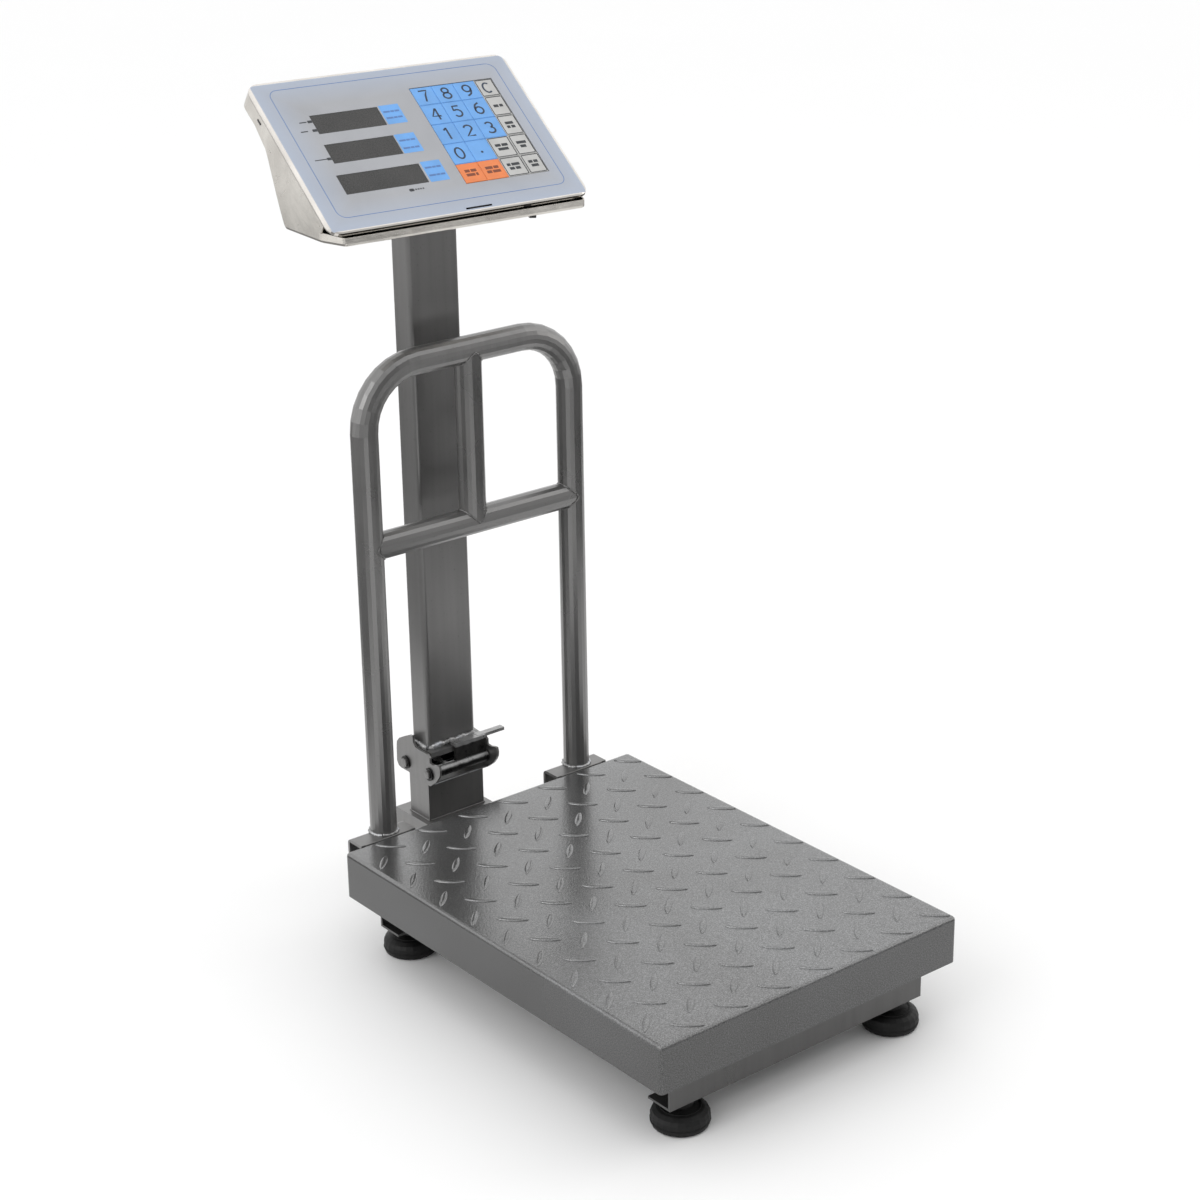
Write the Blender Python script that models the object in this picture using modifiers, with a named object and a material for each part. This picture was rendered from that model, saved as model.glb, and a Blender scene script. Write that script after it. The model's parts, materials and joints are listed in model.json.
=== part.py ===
"""Platform shipping scale: a checker-plate platform with a guard rail, a folding column and a tilted keypad head.

Metres, +Z up. +X is the operator's right, +Y runs from the operator towards the column, and the floor is z = 0.
Places are first worked out from the middle of the platform; the root empty then moves everything so that the
origin lies under the middle of the whole object's box.
"""

import math

import bmesh
import bpy
from mathutils import Vector

# Whole object
DEPTH_CENTRE = 0.0754  # Y of the middle of the object's box, measured from the middle of the platform
GAP = 0.0003  # between pieces that touch

# Platform
PAN_WIDTH = 0.300
PAN_LENGTH = 0.400
PAN_TOP = 0.0921
PAN_HEIGHT = 0.0396
PAN_SHEET = 0.002
PAN_EDGE_RADIUS = 0.003

# Guard rail, one bent tube with a crossbar and a short stile
RAIL_TUBE_RADIUS = 0.0112
RAIL_WALL = 0.0015
RAIL_HALF_WIDTH = 0.1025
RAIL_Y = 0.2135
RAIL_TOP_LINE = 0.4875
RAIL_BEND_RADIUS = 0.050
CROSSBAR_Z = 0.342
RAIL_FOOT_WIDTH = 0.054
RAIL_FOOT_DEPTH = 0.020
RAIL_FOOT_HEIGHT = 0.026
RAIL_FOOT_SHIFT = -0.0045  # the feet sit a little to the left of their posts
RAIL_FOOT_SHEET = 0.0025

# Base frame
CHANNEL_HALF_LENGTH = 0.1288
CHANNEL_FACE_Y = 0.1847
CHANNEL_DEPTH = 0.025
CHANNEL_HEIGHT = 0.040
CHANNEL_SHEET = 0.002
BASE_BOTTOM = 0.023
SIDE_MEMBER_X = 0.070
SIDE_MEMBER_WIDTH = 0.020
SIDE_MEMBER_INSET = 0.002
SIDE_MEMBER_WALL = 0.0015
FOOT_X = 0.1082
FOOT_Y = 0.1721
STUD_RADIUS = 0.004
STUD_TOP = 0.048

# Load cell and the spider above it
CELL_LENGTH = 0.150
CELL_WIDTH = 0.040
CELL_BOTTOM = 0.0358
CELL_HEIGHT = 0.025
CELL_SEAT = 0.030  # length of the bolted seat at each end
CELL_HOLE_RADIUS = 0.0085
CELL_HOLE_Y = 0.012
SPIDER_BOTTOM = CELL_BOTTOM + CELL_HEIGHT + 0.0036
SPIDER_THICKNESS = 0.008
SPIDER_HALF_WIDTH = 0.120
SPIDER_ARM_Y = 0.121
SPIDER_ARM_WIDTH = 0.028
SPIDER_SPINE_WIDTH = 0.050
BUFFER_X = 0.108

# Column foot: socket, hinge bracket, latch and shoe
SOCKET_WIDTH = 0.058
SOCKET_FRONT = 0.2525
SOCKET_BACK = 0.2805
SOCKET_WALL = 0.002
SOCKET_BOTTOM = 0.027
SOCKET_TOP = 0.1003
BRACKET_HALF_WIDTH = 0.035
BRACKET_BACK = 0.295
BRACKET_TOP = 0.0626
BRACKET_SHEET = 0.0025
CHEEK_INNER = 0.0293
CHEEK_SHEET = 0.0022
WEB_BOTTOM = 0.0985
WEB_FRONT = 0.2459
HINGE_Y = 0.2808
HINGE_Z = 0.1095
HINGE_PIN_RADIUS = 0.004
LATCH_Y = 0.2465
LATCH_Z = 0.1098
LATCH_ROD_RADIUS = 0.0035
LATCH_TUBE_RADIUS = 0.005
LATCH_TUBE_END = 0.0285
PAWL_LEFT = -0.005
PAWL_RIGHT = 0.027
PAWL_FRONT = 0.2440
PAWL_SHEET = 0.0026
LIP_BACK = 0.2530
TONGUE_START = 0.020
TONGUE_END = 0.0485
TONGUE_FRONT = 0.2455
TONGUE_BACK = 0.2515
SHOE_TOP = 0.1280
SHOE_PLATE = 0.004
SHOE_FRONT = 0.2470
SHOE_BACK = 0.2875
SHOE_HALF_WIDTH = 0.0285
SHOE_LUG = 0.0027
SPRING_X = -0.011
SPRING_TURNS = 7
SPRING_RADIUS = 0.0022
SPRING_WIRE = 0.0005
SPRING_BACK = 0.2725
SPRING_FRONT = 0.2595
EYE_Y = 0.2570
EYE_RADIUS = 0.0017

# Column tube
COLUMN_WIDTH = 0.050
COLUMN_DEPTH = 0.025
COLUMN_RADIUS = 0.004
COLUMN_WALL = 0.0015
COLUMN_Y = 0.268
COLUMN_TOP = 0.5863

# Head
HEAD_Y = 0.2676
HEAD_TURN = math.radians(-4.54)
HEAD_FLOOR = 0.590
HEAD_SHEET = 0.0012
SHELL_HALF_WIDTH = 0.118
SHELL_FRONT = -0.0695
SHELL_REAR = 0.0742
LIP_HEIGHT = 0.0070
SEAM_Z = 0.6303  # height of the seam between shell and band over the column, and its slope
SEAM_SLOPE = 0.689
FACE_Z = 0.6478
FACE_TILT = math.radians(36.68)
COVER_WIDTH = 0.238
COVER_HEIGHT = 0.161
COVER_CORNER = 0.010
COVER_EDGE_RADIUS = 0.0018
COVER_SKIRT = 0.0028
BAND_FRONT = -0.068
BAND_DEEPEST = 0.030

# Places on the face, as (left, right, bottom, top) from the middle of the face
WINDOWS = {
    "window_weight": (-0.0812, -0.0200, 0.0201, 0.0401),
    "window_unit_price": (-0.0830, -0.0208, -0.0114, 0.0088),
    "window_total_price": (-0.0875, -0.0136, -0.0436, -0.0233),
}
KEY_COLUMNS = (0.0168, 0.0368, 0.0568, 0.0772, 0.0946)
KEY_ROWS = (0.0543, 0.0350, 0.0134, -0.0082, -0.0302, -0.0508)
KEY_NAMES = (
    ("key_7", "key_8", "key_9", "key_clear"),
    ("key_4", "key_5", "key_6", "key_f1"),
    ("key_1", "key_2", "key_3", "key_f2"),
    ("key_0", "key_point", "key_f5", "key_f3"),
    ("key_zero_set", "key_tare", "key_f6", "key_f4"),
)
BLUE_KEYS = ("key_0", "key_1", "key_2", "key_3", "key_4", "key_5", "key_6", "key_7", "key_8", "key_9", "key_point")
ORANGE_KEYS = ("key_zero_set", "key_tare")
KEY_SLOT = 0.0005  # between neighbouring keys
KEY_THICKNESS = 0.004
BOARD_TOP = -0.005
BOARD_THICKNESS = 0.0016
ROCKER_X = 0.063
ROCKER_Y = -0.059
ROCKER_TILT = math.radians(7)

COLOURS = {
    # name: (colour, roughness, metallic)
    "grey_steel": ((0.17, 0.175, 0.18), 0.38, 0.85),
    "tread_plate": ((0.20, 0.20, 0.205), 0.42, 0.85),
    "dark_steel": ((0.035, 0.036, 0.038), 0.45, 0.7),
    "bright_steel": ((0.42, 0.42, 0.43), 0.30, 1.0),
    "stainless": ((0.60, 0.57, 0.53), 0.22, 1.0),
    "aluminium": ((0.62, 0.63, 0.65), 0.40, 1.0),
    "black_rubber": ((0.012, 0.012, 0.013), 0.60, 0.0),
    "face_print": ((0.47, 0.51, 0.58), 0.32, 0.0),
    "window_glass": ((0.055, 0.055, 0.050), 0.10, 0.0),
    "blue_key": ((0.15, 0.40, 0.82), 0.35, 0.0),
    "orange_key": ((0.87, 0.23, 0.06), 0.35, 0.0),
    "grey_key": ((0.50, 0.50, 0.50), 0.35, 0.0),
    "circuit_board": ((0.02, 0.13, 0.05), 0.50, 0.0),
    "battery_case": ((0.05, 0.05, 0.06), 0.45, 0.0),
    "black_plastic": ((0.015, 0.015, 0.016), 0.40, 0.0),
}


def clear_scene():
    for obj in list(bpy.data.objects):
        bpy.data.objects.remove(obj, do_unlink=True)


def new_collection(name, shown):
    collection = bpy.data.collections.new(name)
    bpy.context.scene.collection.children.link(collection)
    collection.hide_render = not shown
    return collection


def make_material(name):
    colour, roughness, metallic = COLOURS[name]
    material = bpy.data.materials.new(name)
    material.use_nodes = True
    shader = material.node_tree.nodes["Principled BSDF"]
    shader.inputs["Base Color"].default_value = (*colour, 1.0)
    shader.inputs["Roughness"].default_value = roughness
    shader.inputs["Metallic"].default_value = metallic
    return material


clear_scene()
PARTS = new_collection("platform_scale", shown=True)
CUTTERS = new_collection("cutters", shown=False)
MATERIALS = {name: make_material(name) for name in COLOURS}
ALONG_X = (math.pi / 2, 0, math.pi / 2)  # an outline drawn in (Y, Z), thick along X
ALONG_Y = (math.pi / 2, 0, 0)  # an outline drawn in (X, Z), thick along Y
ALONG_Z = (0, 0, 0)


class Frame:
    """An empty that pieces hang on. Their places are given from `start`, a point in the design's own coordinates."""

    def __init__(self, name, place, parent=None, rotation=(0, 0, 0), own_places=False):
        self.empty = bpy.data.objects.new(name, None)
        self.empty.empty_display_size = 0.02
        PARTS.objects.link(self.empty)
        self.start = Vector((0, 0, 0)) if own_places else Vector(place)
        self.empty.location = Vector(place) - (parent.start if parent else Vector((0, 0, 0)))
        self.empty.rotation_euler = rotation
        if parent:
            self.empty.parent = parent.empty


ROOT = Frame("root", (0, -DEPTH_CENTRE, 0), own_places=True)
PLATFORM = Frame("platform_lift", (0, 0, PAN_TOP), ROOT)
HINGE = Frame("column_hinge", (0, HINGE_Y, HINGE_Z), ROOT)
LATCH = Frame("latch_pivot", (0, LATCH_Y, LATCH_Z), ROOT)
HEAD = Frame("head_frame", (0, HEAD_Y, 0), HINGE, (0, 0, HEAD_TURN), own_places=True)
FACE = Frame("face_frame", (0, 0, FACE_Z), HEAD, (FACE_TILT, 0, 0), own_places=True)


def finish(obj, frame, place, material=None, rotation=(0, 0, 0)):
    """Puts an object in its collection, on its frame and in its place."""
    if material:
        PARTS.objects.link(obj)
        obj.data.materials.append(MATERIALS[material])
    else:
        CUTTERS.objects.link(obj)
        obj.hide_render = True
        obj.display_type = "WIRE"
    obj.parent = frame.empty
    obj.location = Vector(place) - frame.start
    obj.rotation_euler = rotation
    return obj


def mesh_object(name, shape):
    mesh = bpy.data.meshes.new(name)
    shape.to_mesh(mesh)
    shape.free()
    return bpy.data.objects.new(name, mesh)


def smooth(obj, angle=35):
    obj.data.shade_smooth()
    obj.data.set_sharp_from_angle(angle=math.radians(angle))


def box(name, low, high, frame, material=None, bevel=0.0, rotation=(0, 0, 0)):
    """A box between two corners."""
    low, high = Vector(low), Vector(high)
    shape = bmesh.new()
    bmesh.ops.create_cube(shape, size=1.0)
    bmesh.ops.scale(shape, vec=high - low, verts=shape.verts)
    if bevel:
        bmesh.ops.bevel(shape, geom=shape.edges[:], offset=bevel, segments=1, affect="EDGES")
    return finish(mesh_object(name, shape), frame, (low + high) / 2, material, rotation)


def cylinder(name, centre, radius, length, frame, material=None, rotation=(0, 0, 0), sides=24):
    """A solid bar along its own Z, turned by `rotation`."""
    shape = bmesh.new()
    bmesh.ops.create_cone(shape, cap_ends=True, segments=sides, radius1=radius, radius2=radius, depth=length)
    obj = finish(mesh_object(name, shape), frame, centre, material, rotation)
    smooth(obj)
    return obj


def add_spline(curve, points, cyclic=True):
    spline = curve.splines.new("POLY")
    spline.points.add(len(points) - 1)
    for point, place in zip(spline.points, points):
        point.co = (*place, *([0.0] * (3 - len(place))), 1.0)
    spline.use_cyclic_u = cyclic


def plate(name, outlines, low, high, frame, material=None, facing=ALONG_Z):
    """A flat outline, with any holes after it, from `low` to `high` along the direction that it faces."""
    curve = bpy.data.curves.new(name, "CURVE")
    curve.dimensions = "2D"
    curve.fill_mode = "BOTH"
    curve.extrude = (high - low) / 2
    for outline in outlines:
        add_spline(curve, outline)
    middle = (low + high) / 2
    place = {ALONG_X: (middle, 0, 0), ALONG_Y: (0, middle, 0), ALONG_Z: (0, 0, middle)}[facing]
    # An outline in (X, Z) faces -Y, and only its middle matters.
    return as_mesh(finish(bpy.data.objects.new(name, curve), frame, place, material, facing))


def as_mesh(curve_object):
    """The curve object made a mesh object in the same place, with its caps welded on."""
    bpy.context.view_layer.update()
    graph = bpy.context.evaluated_depsgraph_get()
    mesh = bpy.data.meshes.new_from_object(curve_object.evaluated_get(graph))
    shape = bmesh.new()
    shape.from_mesh(mesh)
    bmesh.ops.remove_doubles(shape, verts=shape.verts, dist=1e-6)
    bmesh.ops.recalc_face_normals(shape, faces=shape.faces)
    shape.to_mesh(mesh)
    shape.free()
    name = curve_object.name
    curve_object.name = name + "_curve"
    made = bpy.data.objects.new(name, mesh)
    for collection in curve_object.users_collection:
        collection.objects.link(made)
    made.hide_render = curve_object.hide_render
    made.display_type = curve_object.display_type
    made.parent = curve_object.parent
    made.matrix_world = curve_object.matrix_world
    bpy.data.objects.remove(curve_object)
    return made


def pipe(name, points, radius, wall, frame, material, resolution=8):
    """A hollow tube along a path, open at its ends."""
    curve = bpy.data.curves.new(name, "CURVE")
    curve.dimensions = "3D"
    curve.bevel_depth = radius
    curve.bevel_resolution = resolution
    add_spline(curve, [Vector(point) - frame.start for point in points], cyclic=False)
    obj = as_mesh(finish(bpy.data.objects.new(name, curve), frame, frame.start, material))
    skin = obj.modifiers.new("wall", "SOLIDIFY")
    skin.thickness = wall
    skin.offset = -1
    smooth(obj)
    return obj


def turned(name, profile, centre, frame, material, steps=24):
    """A turned piece. The profile is (radius, height), from the top down the outside."""
    shape = bmesh.new()
    verts = [shape.verts.new((radius, 0, height)) for radius, height in profile]
    for first, second in zip(verts, verts[1:]):
        shape.edges.new((first, second))
    obj = finish(mesh_object(name, shape), frame, centre, material)
    screw = obj.modifiers.new("turn", "SCREW")
    screw.steps = screw.render_steps = steps
    screw.use_merge_vertices = True
    screw.merge_threshold = 1e-5
    screw.use_smooth_shade = True
    return obj


def boolean(obj, other, operation):
    modifier = obj.modifiers.new(operation.lower(), "BOOLEAN")
    modifier.operation = operation
    modifier.object = other


def cut(obj, *cutters):
    for cutter in cutters:
        boolean(obj, cutter, "DIFFERENCE")


def join(obj, *others):
    for other in others:
        boolean(obj, other, "UNION")


def arc(centre, radius, start, end, steps):
    """Points on a circle from one angle to another, in degrees."""
    angles = [math.radians(start + (end - start) * step / steps) for step in range(steps + 1)]
    return [(centre[0] + radius * math.cos(angle), centre[1] + radius * math.sin(angle)) for angle in angles]


def circle(centre, radius, steps=20):
    return arc(centre, radius, 0, 360, steps)[:-1]


def rectangle(left, right, bottom, top):
    return [(left, bottom), (right, bottom), (right, top), (left, top)]


def rounded_rectangle(width, height, radius, steps=5):
    corner_x, corner_y = width / 2 - radius, height / 2 - radius
    corners = ((corner_x, corner_y, 0), (-corner_x, corner_y, 90), (-corner_x, -corner_y, 180), (corner_x, -corner_y, 270))
    return [point for x, y, start in corners for point in arc((x, y), radius, start, start + 90, steps)]


def make_base_frame():
    low, high = BASE_BOTTOM, BASE_BOTTOM + CHANNEL_HEIGHT
    for name, side in (("front_crossmember", -1), ("rear_crossmember", 1)):
        web = side * CHANNEL_FACE_Y
        inner = side * (CHANNEL_FACE_Y - CHANNEL_SHEET)
        edge = side * (CHANNEL_FACE_Y - CHANNEL_DEPTH)
        outline = [
            (web, low),
            (edge, low),
            (edge, low + CHANNEL_SHEET),
            (inner, low + CHANNEL_SHEET),
            (inner, high - CHANNEL_SHEET),
            (edge, high - CHANNEL_SHEET),
            (edge, high),
            (web, high),
        ]
        channel = plate(name, [outline], -CHANNEL_HALF_LENGTH, CHANNEL_HALF_LENGTH, ROOT, "grey_steel", ALONG_X)
        for end in (-1, 1):
            centre = (end * FOOT_X, side * FOOT_Y, low)
            cut(channel, cylinder(f"{name}_hole_{end}", centre, STUD_RADIUS + GAP, 0.010, ROOT, sides=16))
    reach = CHANNEL_FACE_Y - CHANNEL_DEPTH - GAP
    half = SIDE_MEMBER_WIDTH / 2
    for name, x in (("left_side_member", -SIDE_MEMBER_X), ("right_side_member", SIDE_MEMBER_X)):
        bottom, top = low + SIDE_MEMBER_INSET, high - SIDE_MEMBER_INSET
        wall = SIDE_MEMBER_WALL
        outer = rectangle(x - half, x + half, bottom, top)
        inner = rectangle(x - half + wall, x + half - wall, bottom + wall, top - wall)
        plate(name, [outer, inner], -reach, reach, ROOT, "grey_steel", ALONG_Y)


def make_feet():
    profile = [
        (0, STUD_TOP),
        (STUD_RADIUS, STUD_TOP),
        (STUD_RADIUS, 0.0205),
        (0.0095, 0.0205),
        (0.0098, 0.0172),
        (0.0180, 0.0146),
        (0.0212, 0.0125),
        (0.0225, 0.0095),
        (0.0225, 0.0035),
        (0.0216, 0.0010),
        (0.0196, 0),
        (0, 0),
    ]
    for row, y in (("front", -FOOT_Y), ("rear", FOOT_Y)):
        for side, x in (("left", -FOOT_X), ("right", FOOT_X)):
            turned(f"foot_{row}_{side}", profile, (x, y, 0), ROOT, "black_rubber")


def make_load_cell():
    end = CELL_LENGTH / 2
    seat = end - CELL_SEAT
    inner_face = SIDE_MEMBER_X - SIDE_MEMBER_WIDTH / 2 - GAP
    seat_top = CELL_BOTTOM - GAP
    plate_top = seat_top - 0.0033
    plate_bottom = plate_top - 0.006
    stepped = [
        (seat - 0.030, plate_bottom),
        (end + 0.010, plate_bottom),
        (end + 0.010, plate_top),
        (end, plate_top),
        (end, seat_top),
        (seat, seat_top),
        (seat, plate_top),
        (seat - 0.030, plate_top),
    ]
    plate("cell_base_plate", [stepped], -inner_face, inner_face, ROOT, "grey_steel", ALONG_X)
    cell = box(
        "load_cell",
        (-CELL_WIDTH / 2, -end, CELL_BOTTOM),
        (CELL_WIDTH / 2, end, CELL_BOTTOM + CELL_HEIGHT),
        ROOT,
        "aluminium",
    )
    middle = CELL_BOTTOM + CELL_HEIGHT / 2
    for side in (-1, 1):
        centre = (0, side * CELL_HOLE_Y, middle)
        cut(cell, cylinder(f"cell_hole_{side}", centre, CELL_HOLE_RADIUS, 0.06, ROOT, rotation=ALONG_X, sides=20))
    slot = box("cell_slot", (-0.03, -CELL_HOLE_Y, middle - 0.002), (0.03, CELL_HOLE_Y, middle + 0.002), ROOT)
    cut(cell, slot)


def make_spider():
    spine, arm = SPIDER_SPINE_WIDTH / 2, SPIDER_ARM_WIDTH / 2
    quarter = [
        (SPIDER_HALF_WIDTH, SPIDER_ARM_Y + arm),
        (SPIDER_HALF_WIDTH, SPIDER_ARM_Y - arm),
        (2 * spine, SPIDER_ARM_Y - arm - 0.001),
        (spine, SPIDER_ARM_Y - arm - spine),
    ]
    right = quarter + [(x, -y) for x, y in reversed(quarter)]
    outline = right + [(-x, y) for x, y in reversed(right)]
    bottom, top = SPIDER_BOTTOM, SPIDER_BOTTOM + SPIDER_THICKNESS
    spider = plate("pan_spider", [outline], bottom, top, ROOT, "grey_steel")
    end = CELL_LENGTH / 2
    pad = box(
        "spider_pad",
        (-CELL_WIDTH / 2, -end, CELL_BOTTOM + CELL_HEIGHT + GAP),
        (CELL_WIDTH / 2, CELL_SEAT - end, bottom + 0.002),
        ROOT,
    )
    join(spider, pad)
    height = PAN_TOP - PAN_SHEET - top - 2 * GAP
    profile = [(0, height), (0.0085, height), (0.0105, height - 0.002), (0.0115, 0.003), (0.0125, 0), (0, 0)]
    for row, y in (("front", -SPIDER_ARM_Y), ("rear", SPIDER_ARM_Y)):
        for side, x in (("left", -BUFFER_X), ("right", BUFFER_X)):
            turned(f"pan_buffer_{row}_{side}", profile, (x, y, top + GAP), ROOT, "black_rubber", steps=16)


def make_pan():
    shape = bmesh.new()
    bmesh.ops.create_cube(shape, size=1.0)
    bmesh.ops.scale(shape, vec=(PAN_WIDTH, PAN_LENGTH, PAN_HEIGHT), verts=shape.verts)
    bottom = [face for face in shape.faces if face.normal.z < -0.5]
    bmesh.ops.delete(shape, geom=bottom, context="FACES_ONLY")
    edges = [edge for edge in shape.edges if len(edge.link_faces) == 2]
    bmesh.ops.bevel(shape, geom=edges, offset=PAN_EDGE_RADIUS, segments=3, profile=0.5, affect="EDGES")
    pan = finish(mesh_object("pan_tray", shape), PLATFORM, (0, 0, PAN_TOP - PAN_HEIGHT / 2), "tread_plate")
    sheet = pan.modifiers.new("sheet", "SOLIDIFY")
    sheet.thickness = PAN_SHEET
    sheet.offset = -1
    smooth(pan)


def make_rail():
    half, bend = RAIL_HALF_WIDTH, RAIL_BEND_RADIUS
    bottom = PAN_TOP + GAP
    shoulder = RAIL_TOP_LINE - bend
    left = arc((-half + bend, shoulder), bend, 180, 90, 8)
    right = arc((half - bend, shoulder), bend, 90, 0, 8)
    path = [(-half, bottom)] + left + right + [(half, bottom)]
    pipe("rail_hoop", [(x, RAIL_Y, z) for x, z in path], RAIL_TUBE_RADIUS, RAIL_WALL, PLATFORM, "grey_steel")

    mouth = RAIL_TUBE_RADIUS + GAP
    end = half - 0.003
    ends = [(-end, RAIL_Y, CROSSBAR_Z), (end, RAIL_Y, CROSSBAR_Z)]
    crossbar = pipe("rail_crossbar", ends, RAIL_TUBE_RADIUS, RAIL_WALL, PLATFORM, "grey_steel")
    for side in (-1, 1):
        centre = (side * half, RAIL_Y, CROSSBAR_Z)
        cut(crossbar, cylinder(f"crossbar_mouth_{side}", centre, mouth, 0.06, PLATFORM, sides=32))

    ends = [(0, RAIL_Y, CROSSBAR_Z + 0.003), (0, RAIL_Y, RAIL_TOP_LINE - 0.003)]
    stile = pipe("rail_stile", ends, RAIL_TUBE_RADIUS, RAIL_WALL, PLATFORM, "grey_steel")
    for name, z in (("low", CROSSBAR_Z), ("high", RAIL_TOP_LINE)):
        centre = (0, RAIL_Y, z)
        cut(stile, cylinder(f"stile_mouth_{name}", centre, mouth, 0.06, PLATFORM, rotation=ALONG_X, sides=32))


def make_rail_feet():
    front = PAN_LENGTH / 2 + GAP
    back = front + RAIL_FOOT_DEPTH
    bottom = PAN_TOP - RAIL_FOOT_HEIGHT
    sheet, bend = RAIL_FOOT_SHEET, 0.004
    outline = (
        [(front, bottom), (front + sheet, bottom), (front + sheet, PAN_TOP - sheet)]
        + [(back - sheet, PAN_TOP - sheet), (back - sheet, bottom), (back, bottom)]
        + arc((back - bend, PAN_TOP - bend), bend, 0, 90, 4)
        + [(front, PAN_TOP)]
    )
    for name, x in (("rail_foot_left", -RAIL_HALF_WIDTH), ("rail_foot_right", RAIL_HALF_WIDTH)):
        middle = x + RAIL_FOOT_SHIFT
        low, high = middle - RAIL_FOOT_WIDTH / 2, middle + RAIL_FOOT_WIDTH / 2
        plate(name, [outline], low, high, PLATFORM, "grey_steel", ALONG_X)


def make_column_foot():
    half, sheet = BRACKET_HALF_WIDTH, BRACKET_SHEET
    bottom = BASE_BOTTOM + 0.0005
    outline = [
        (-half, bottom),
        (-half + sheet, bottom),
        (-half + sheet, BRACKET_TOP - sheet),
        (half - sheet, BRACKET_TOP - sheet),
        (half - sheet, bottom),
        (half, bottom),
        (half, BRACKET_TOP),
        (-half, BRACKET_TOP),
    ]
    start = CHANNEL_FACE_Y + GAP
    bracket = plate("column_base_bracket", [outline], start, BRACKET_BACK, ROOT, "grey_steel", ALONG_Y)
    side = SOCKET_WIDTH / 2
    hole_low = (-side - GAP, SOCKET_FRONT - GAP, BRACKET_TOP - 0.01)
    hole_high = (side + GAP, SOCKET_BACK + GAP, BRACKET_TOP + 0.01)
    step_low = (-half - 0.005, start - 0.005, PAN_TOP - PAN_HEIGHT - 0.0025)
    step_high = (half + 0.005, PAN_LENGTH / 2 + 0.0045, BRACKET_TOP + 0.005)
    cut(bracket, box("socket_hole", hole_low, hole_high, ROOT), box("bracket_step", step_low, step_high, ROOT))

    wall = SOCKET_WALL
    outer = rectangle(-side, side, SOCKET_FRONT, SOCKET_BACK)
    inner = rectangle(-side + wall, side - wall, SOCKET_FRONT + wall, SOCKET_BACK - wall)
    plate("column_socket", [outer, inner], SOCKET_BOTTOM, SOCKET_TOP, ROOT, "grey_steel")


def make_hinge_bracket():
    """Two cheeks on a web: the column's hinge pin is at their back and the latch rod at their front."""
    cheek = [
        (WEB_FRONT, WEB_BOTTOM),
        (0.2735, WEB_BOTTOM),
        (0.2779, 0.1010),
        (0.2890, 0.1010),
        (0.2930, 0.1020),
        (0.2955, 0.1060),
        (0.2952, 0.1180),
        (0.2945, 0.1245),
        (0.2905, 0.1290),
        (0.2840, 0.1325),
        (0.2753, 0.1367),
        (0.2700, 0.1380),
        (0.2697, 0.1321),
        (0.2669, 0.1283),
        (0.2595, 0.1276),
        (0.2492, 0.1276),
        (0.2457, 0.1249),
        (0.2455, 0.1205),
        (0.2409, 0.1200),
        (0.2350, 0.1215),
        (0.2318, 0.1217),
        (0.2308, 0.1180),
        (0.2312, 0.1140),
        (0.2330, 0.1105),
        (0.2375, 0.1050),
    ]
    holes = [
        circle((HINGE_Y, HINGE_Z), HINGE_PIN_RADIUS + GAP, 16),
        circle((LATCH_Y, LATCH_Z), LATCH_ROD_RADIUS + GAP, 16),
    ]
    outer = CHEEK_INNER + CHEEK_SHEET
    bracket = plate("hinge_bracket", [cheek, *holes], -outer, -CHEEK_INNER, ROOT, "dark_steel", ALONG_X)
    right = plate("right_cheek", [cheek, *holes], CHEEK_INNER, outer, ROOT, facing=ALONG_X)
    reach = CHEEK_INNER + 0.001
    web_low = (-reach, WEB_FRONT, WEB_BOTTOM)
    web_high = (reach, SOCKET_FRONT - GAP, WEB_BOTTOM + 0.002)
    join(bracket, box("bracket_web", web_low, web_high, ROOT), right)


def make_hinge_and_rod():
    length = 2 * (CHEEK_INNER + CHEEK_SHEET) + 0.006
    centre = (0, HINGE_Y, HINGE_Z)
    cylinder("hinge_pin", centre, HINGE_PIN_RADIUS, length, ROOT, "bright_steel", rotation=ALONG_X, sides=16)
    centre = (0, LATCH_Y, LATCH_Z)
    cylinder("latch_rod", centre, LATCH_ROD_RADIUS, length, ROOT, "bright_steel", rotation=ALONG_X, sides=16)


def make_latch_pawl():
    """A tube that turns on the latch rod and carries a plate. The plate's lip holds the shoe's front edge down, its
    tongue is pushed by hand and the ear behind the tube is where the spring pulls."""
    centre = (0, LATCH_Y, LATCH_Z)
    length = 2 * LATCH_TUBE_END
    pawl = cylinder("latch_pawl", centre, LATCH_TUBE_RADIUS, length, LATCH, "dark_steel", rotation=ALONG_X)
    bottom = SHOE_TOP + GAP
    top = bottom + PAWL_SHEET
    low, high = (PAWL_LEFT, PAWL_FRONT, LATCH_Z), (PAWL_RIGHT, SHOE_FRONT - GAP, top)
    upright = box("pawl_upright", low, high, LATCH)
    low, high = (PAWL_LEFT - 0.0002, PAWL_FRONT - 0.0002, bottom), (PAWL_RIGHT + 0.0002, LIP_BACK, top + 0.0001)
    lip = box("pawl_lip", low, high, LATCH)
    low, high = (TONGUE_START, TONGUE_FRONT, bottom + 0.0001), (TONGUE_END, TONGUE_BACK, top + 0.0003)
    tongue = box("pawl_tongue", low, high, LATCH)
    low, high = (SPRING_X - 0.0015, LATCH_Y, 0.1110), (SPRING_X + 0.0015, 0.2535, 0.1138)
    ear = box("pawl_ear", low, high, LATCH)
    bore = cylinder("pawl_bore", centre, LATCH_ROD_RADIUS + GAP, length + 0.01, LATCH, rotation=ALONG_X, sides=16)
    join(pawl, upright, lip, tongue, ear)
    cut(pawl, bore)


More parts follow.
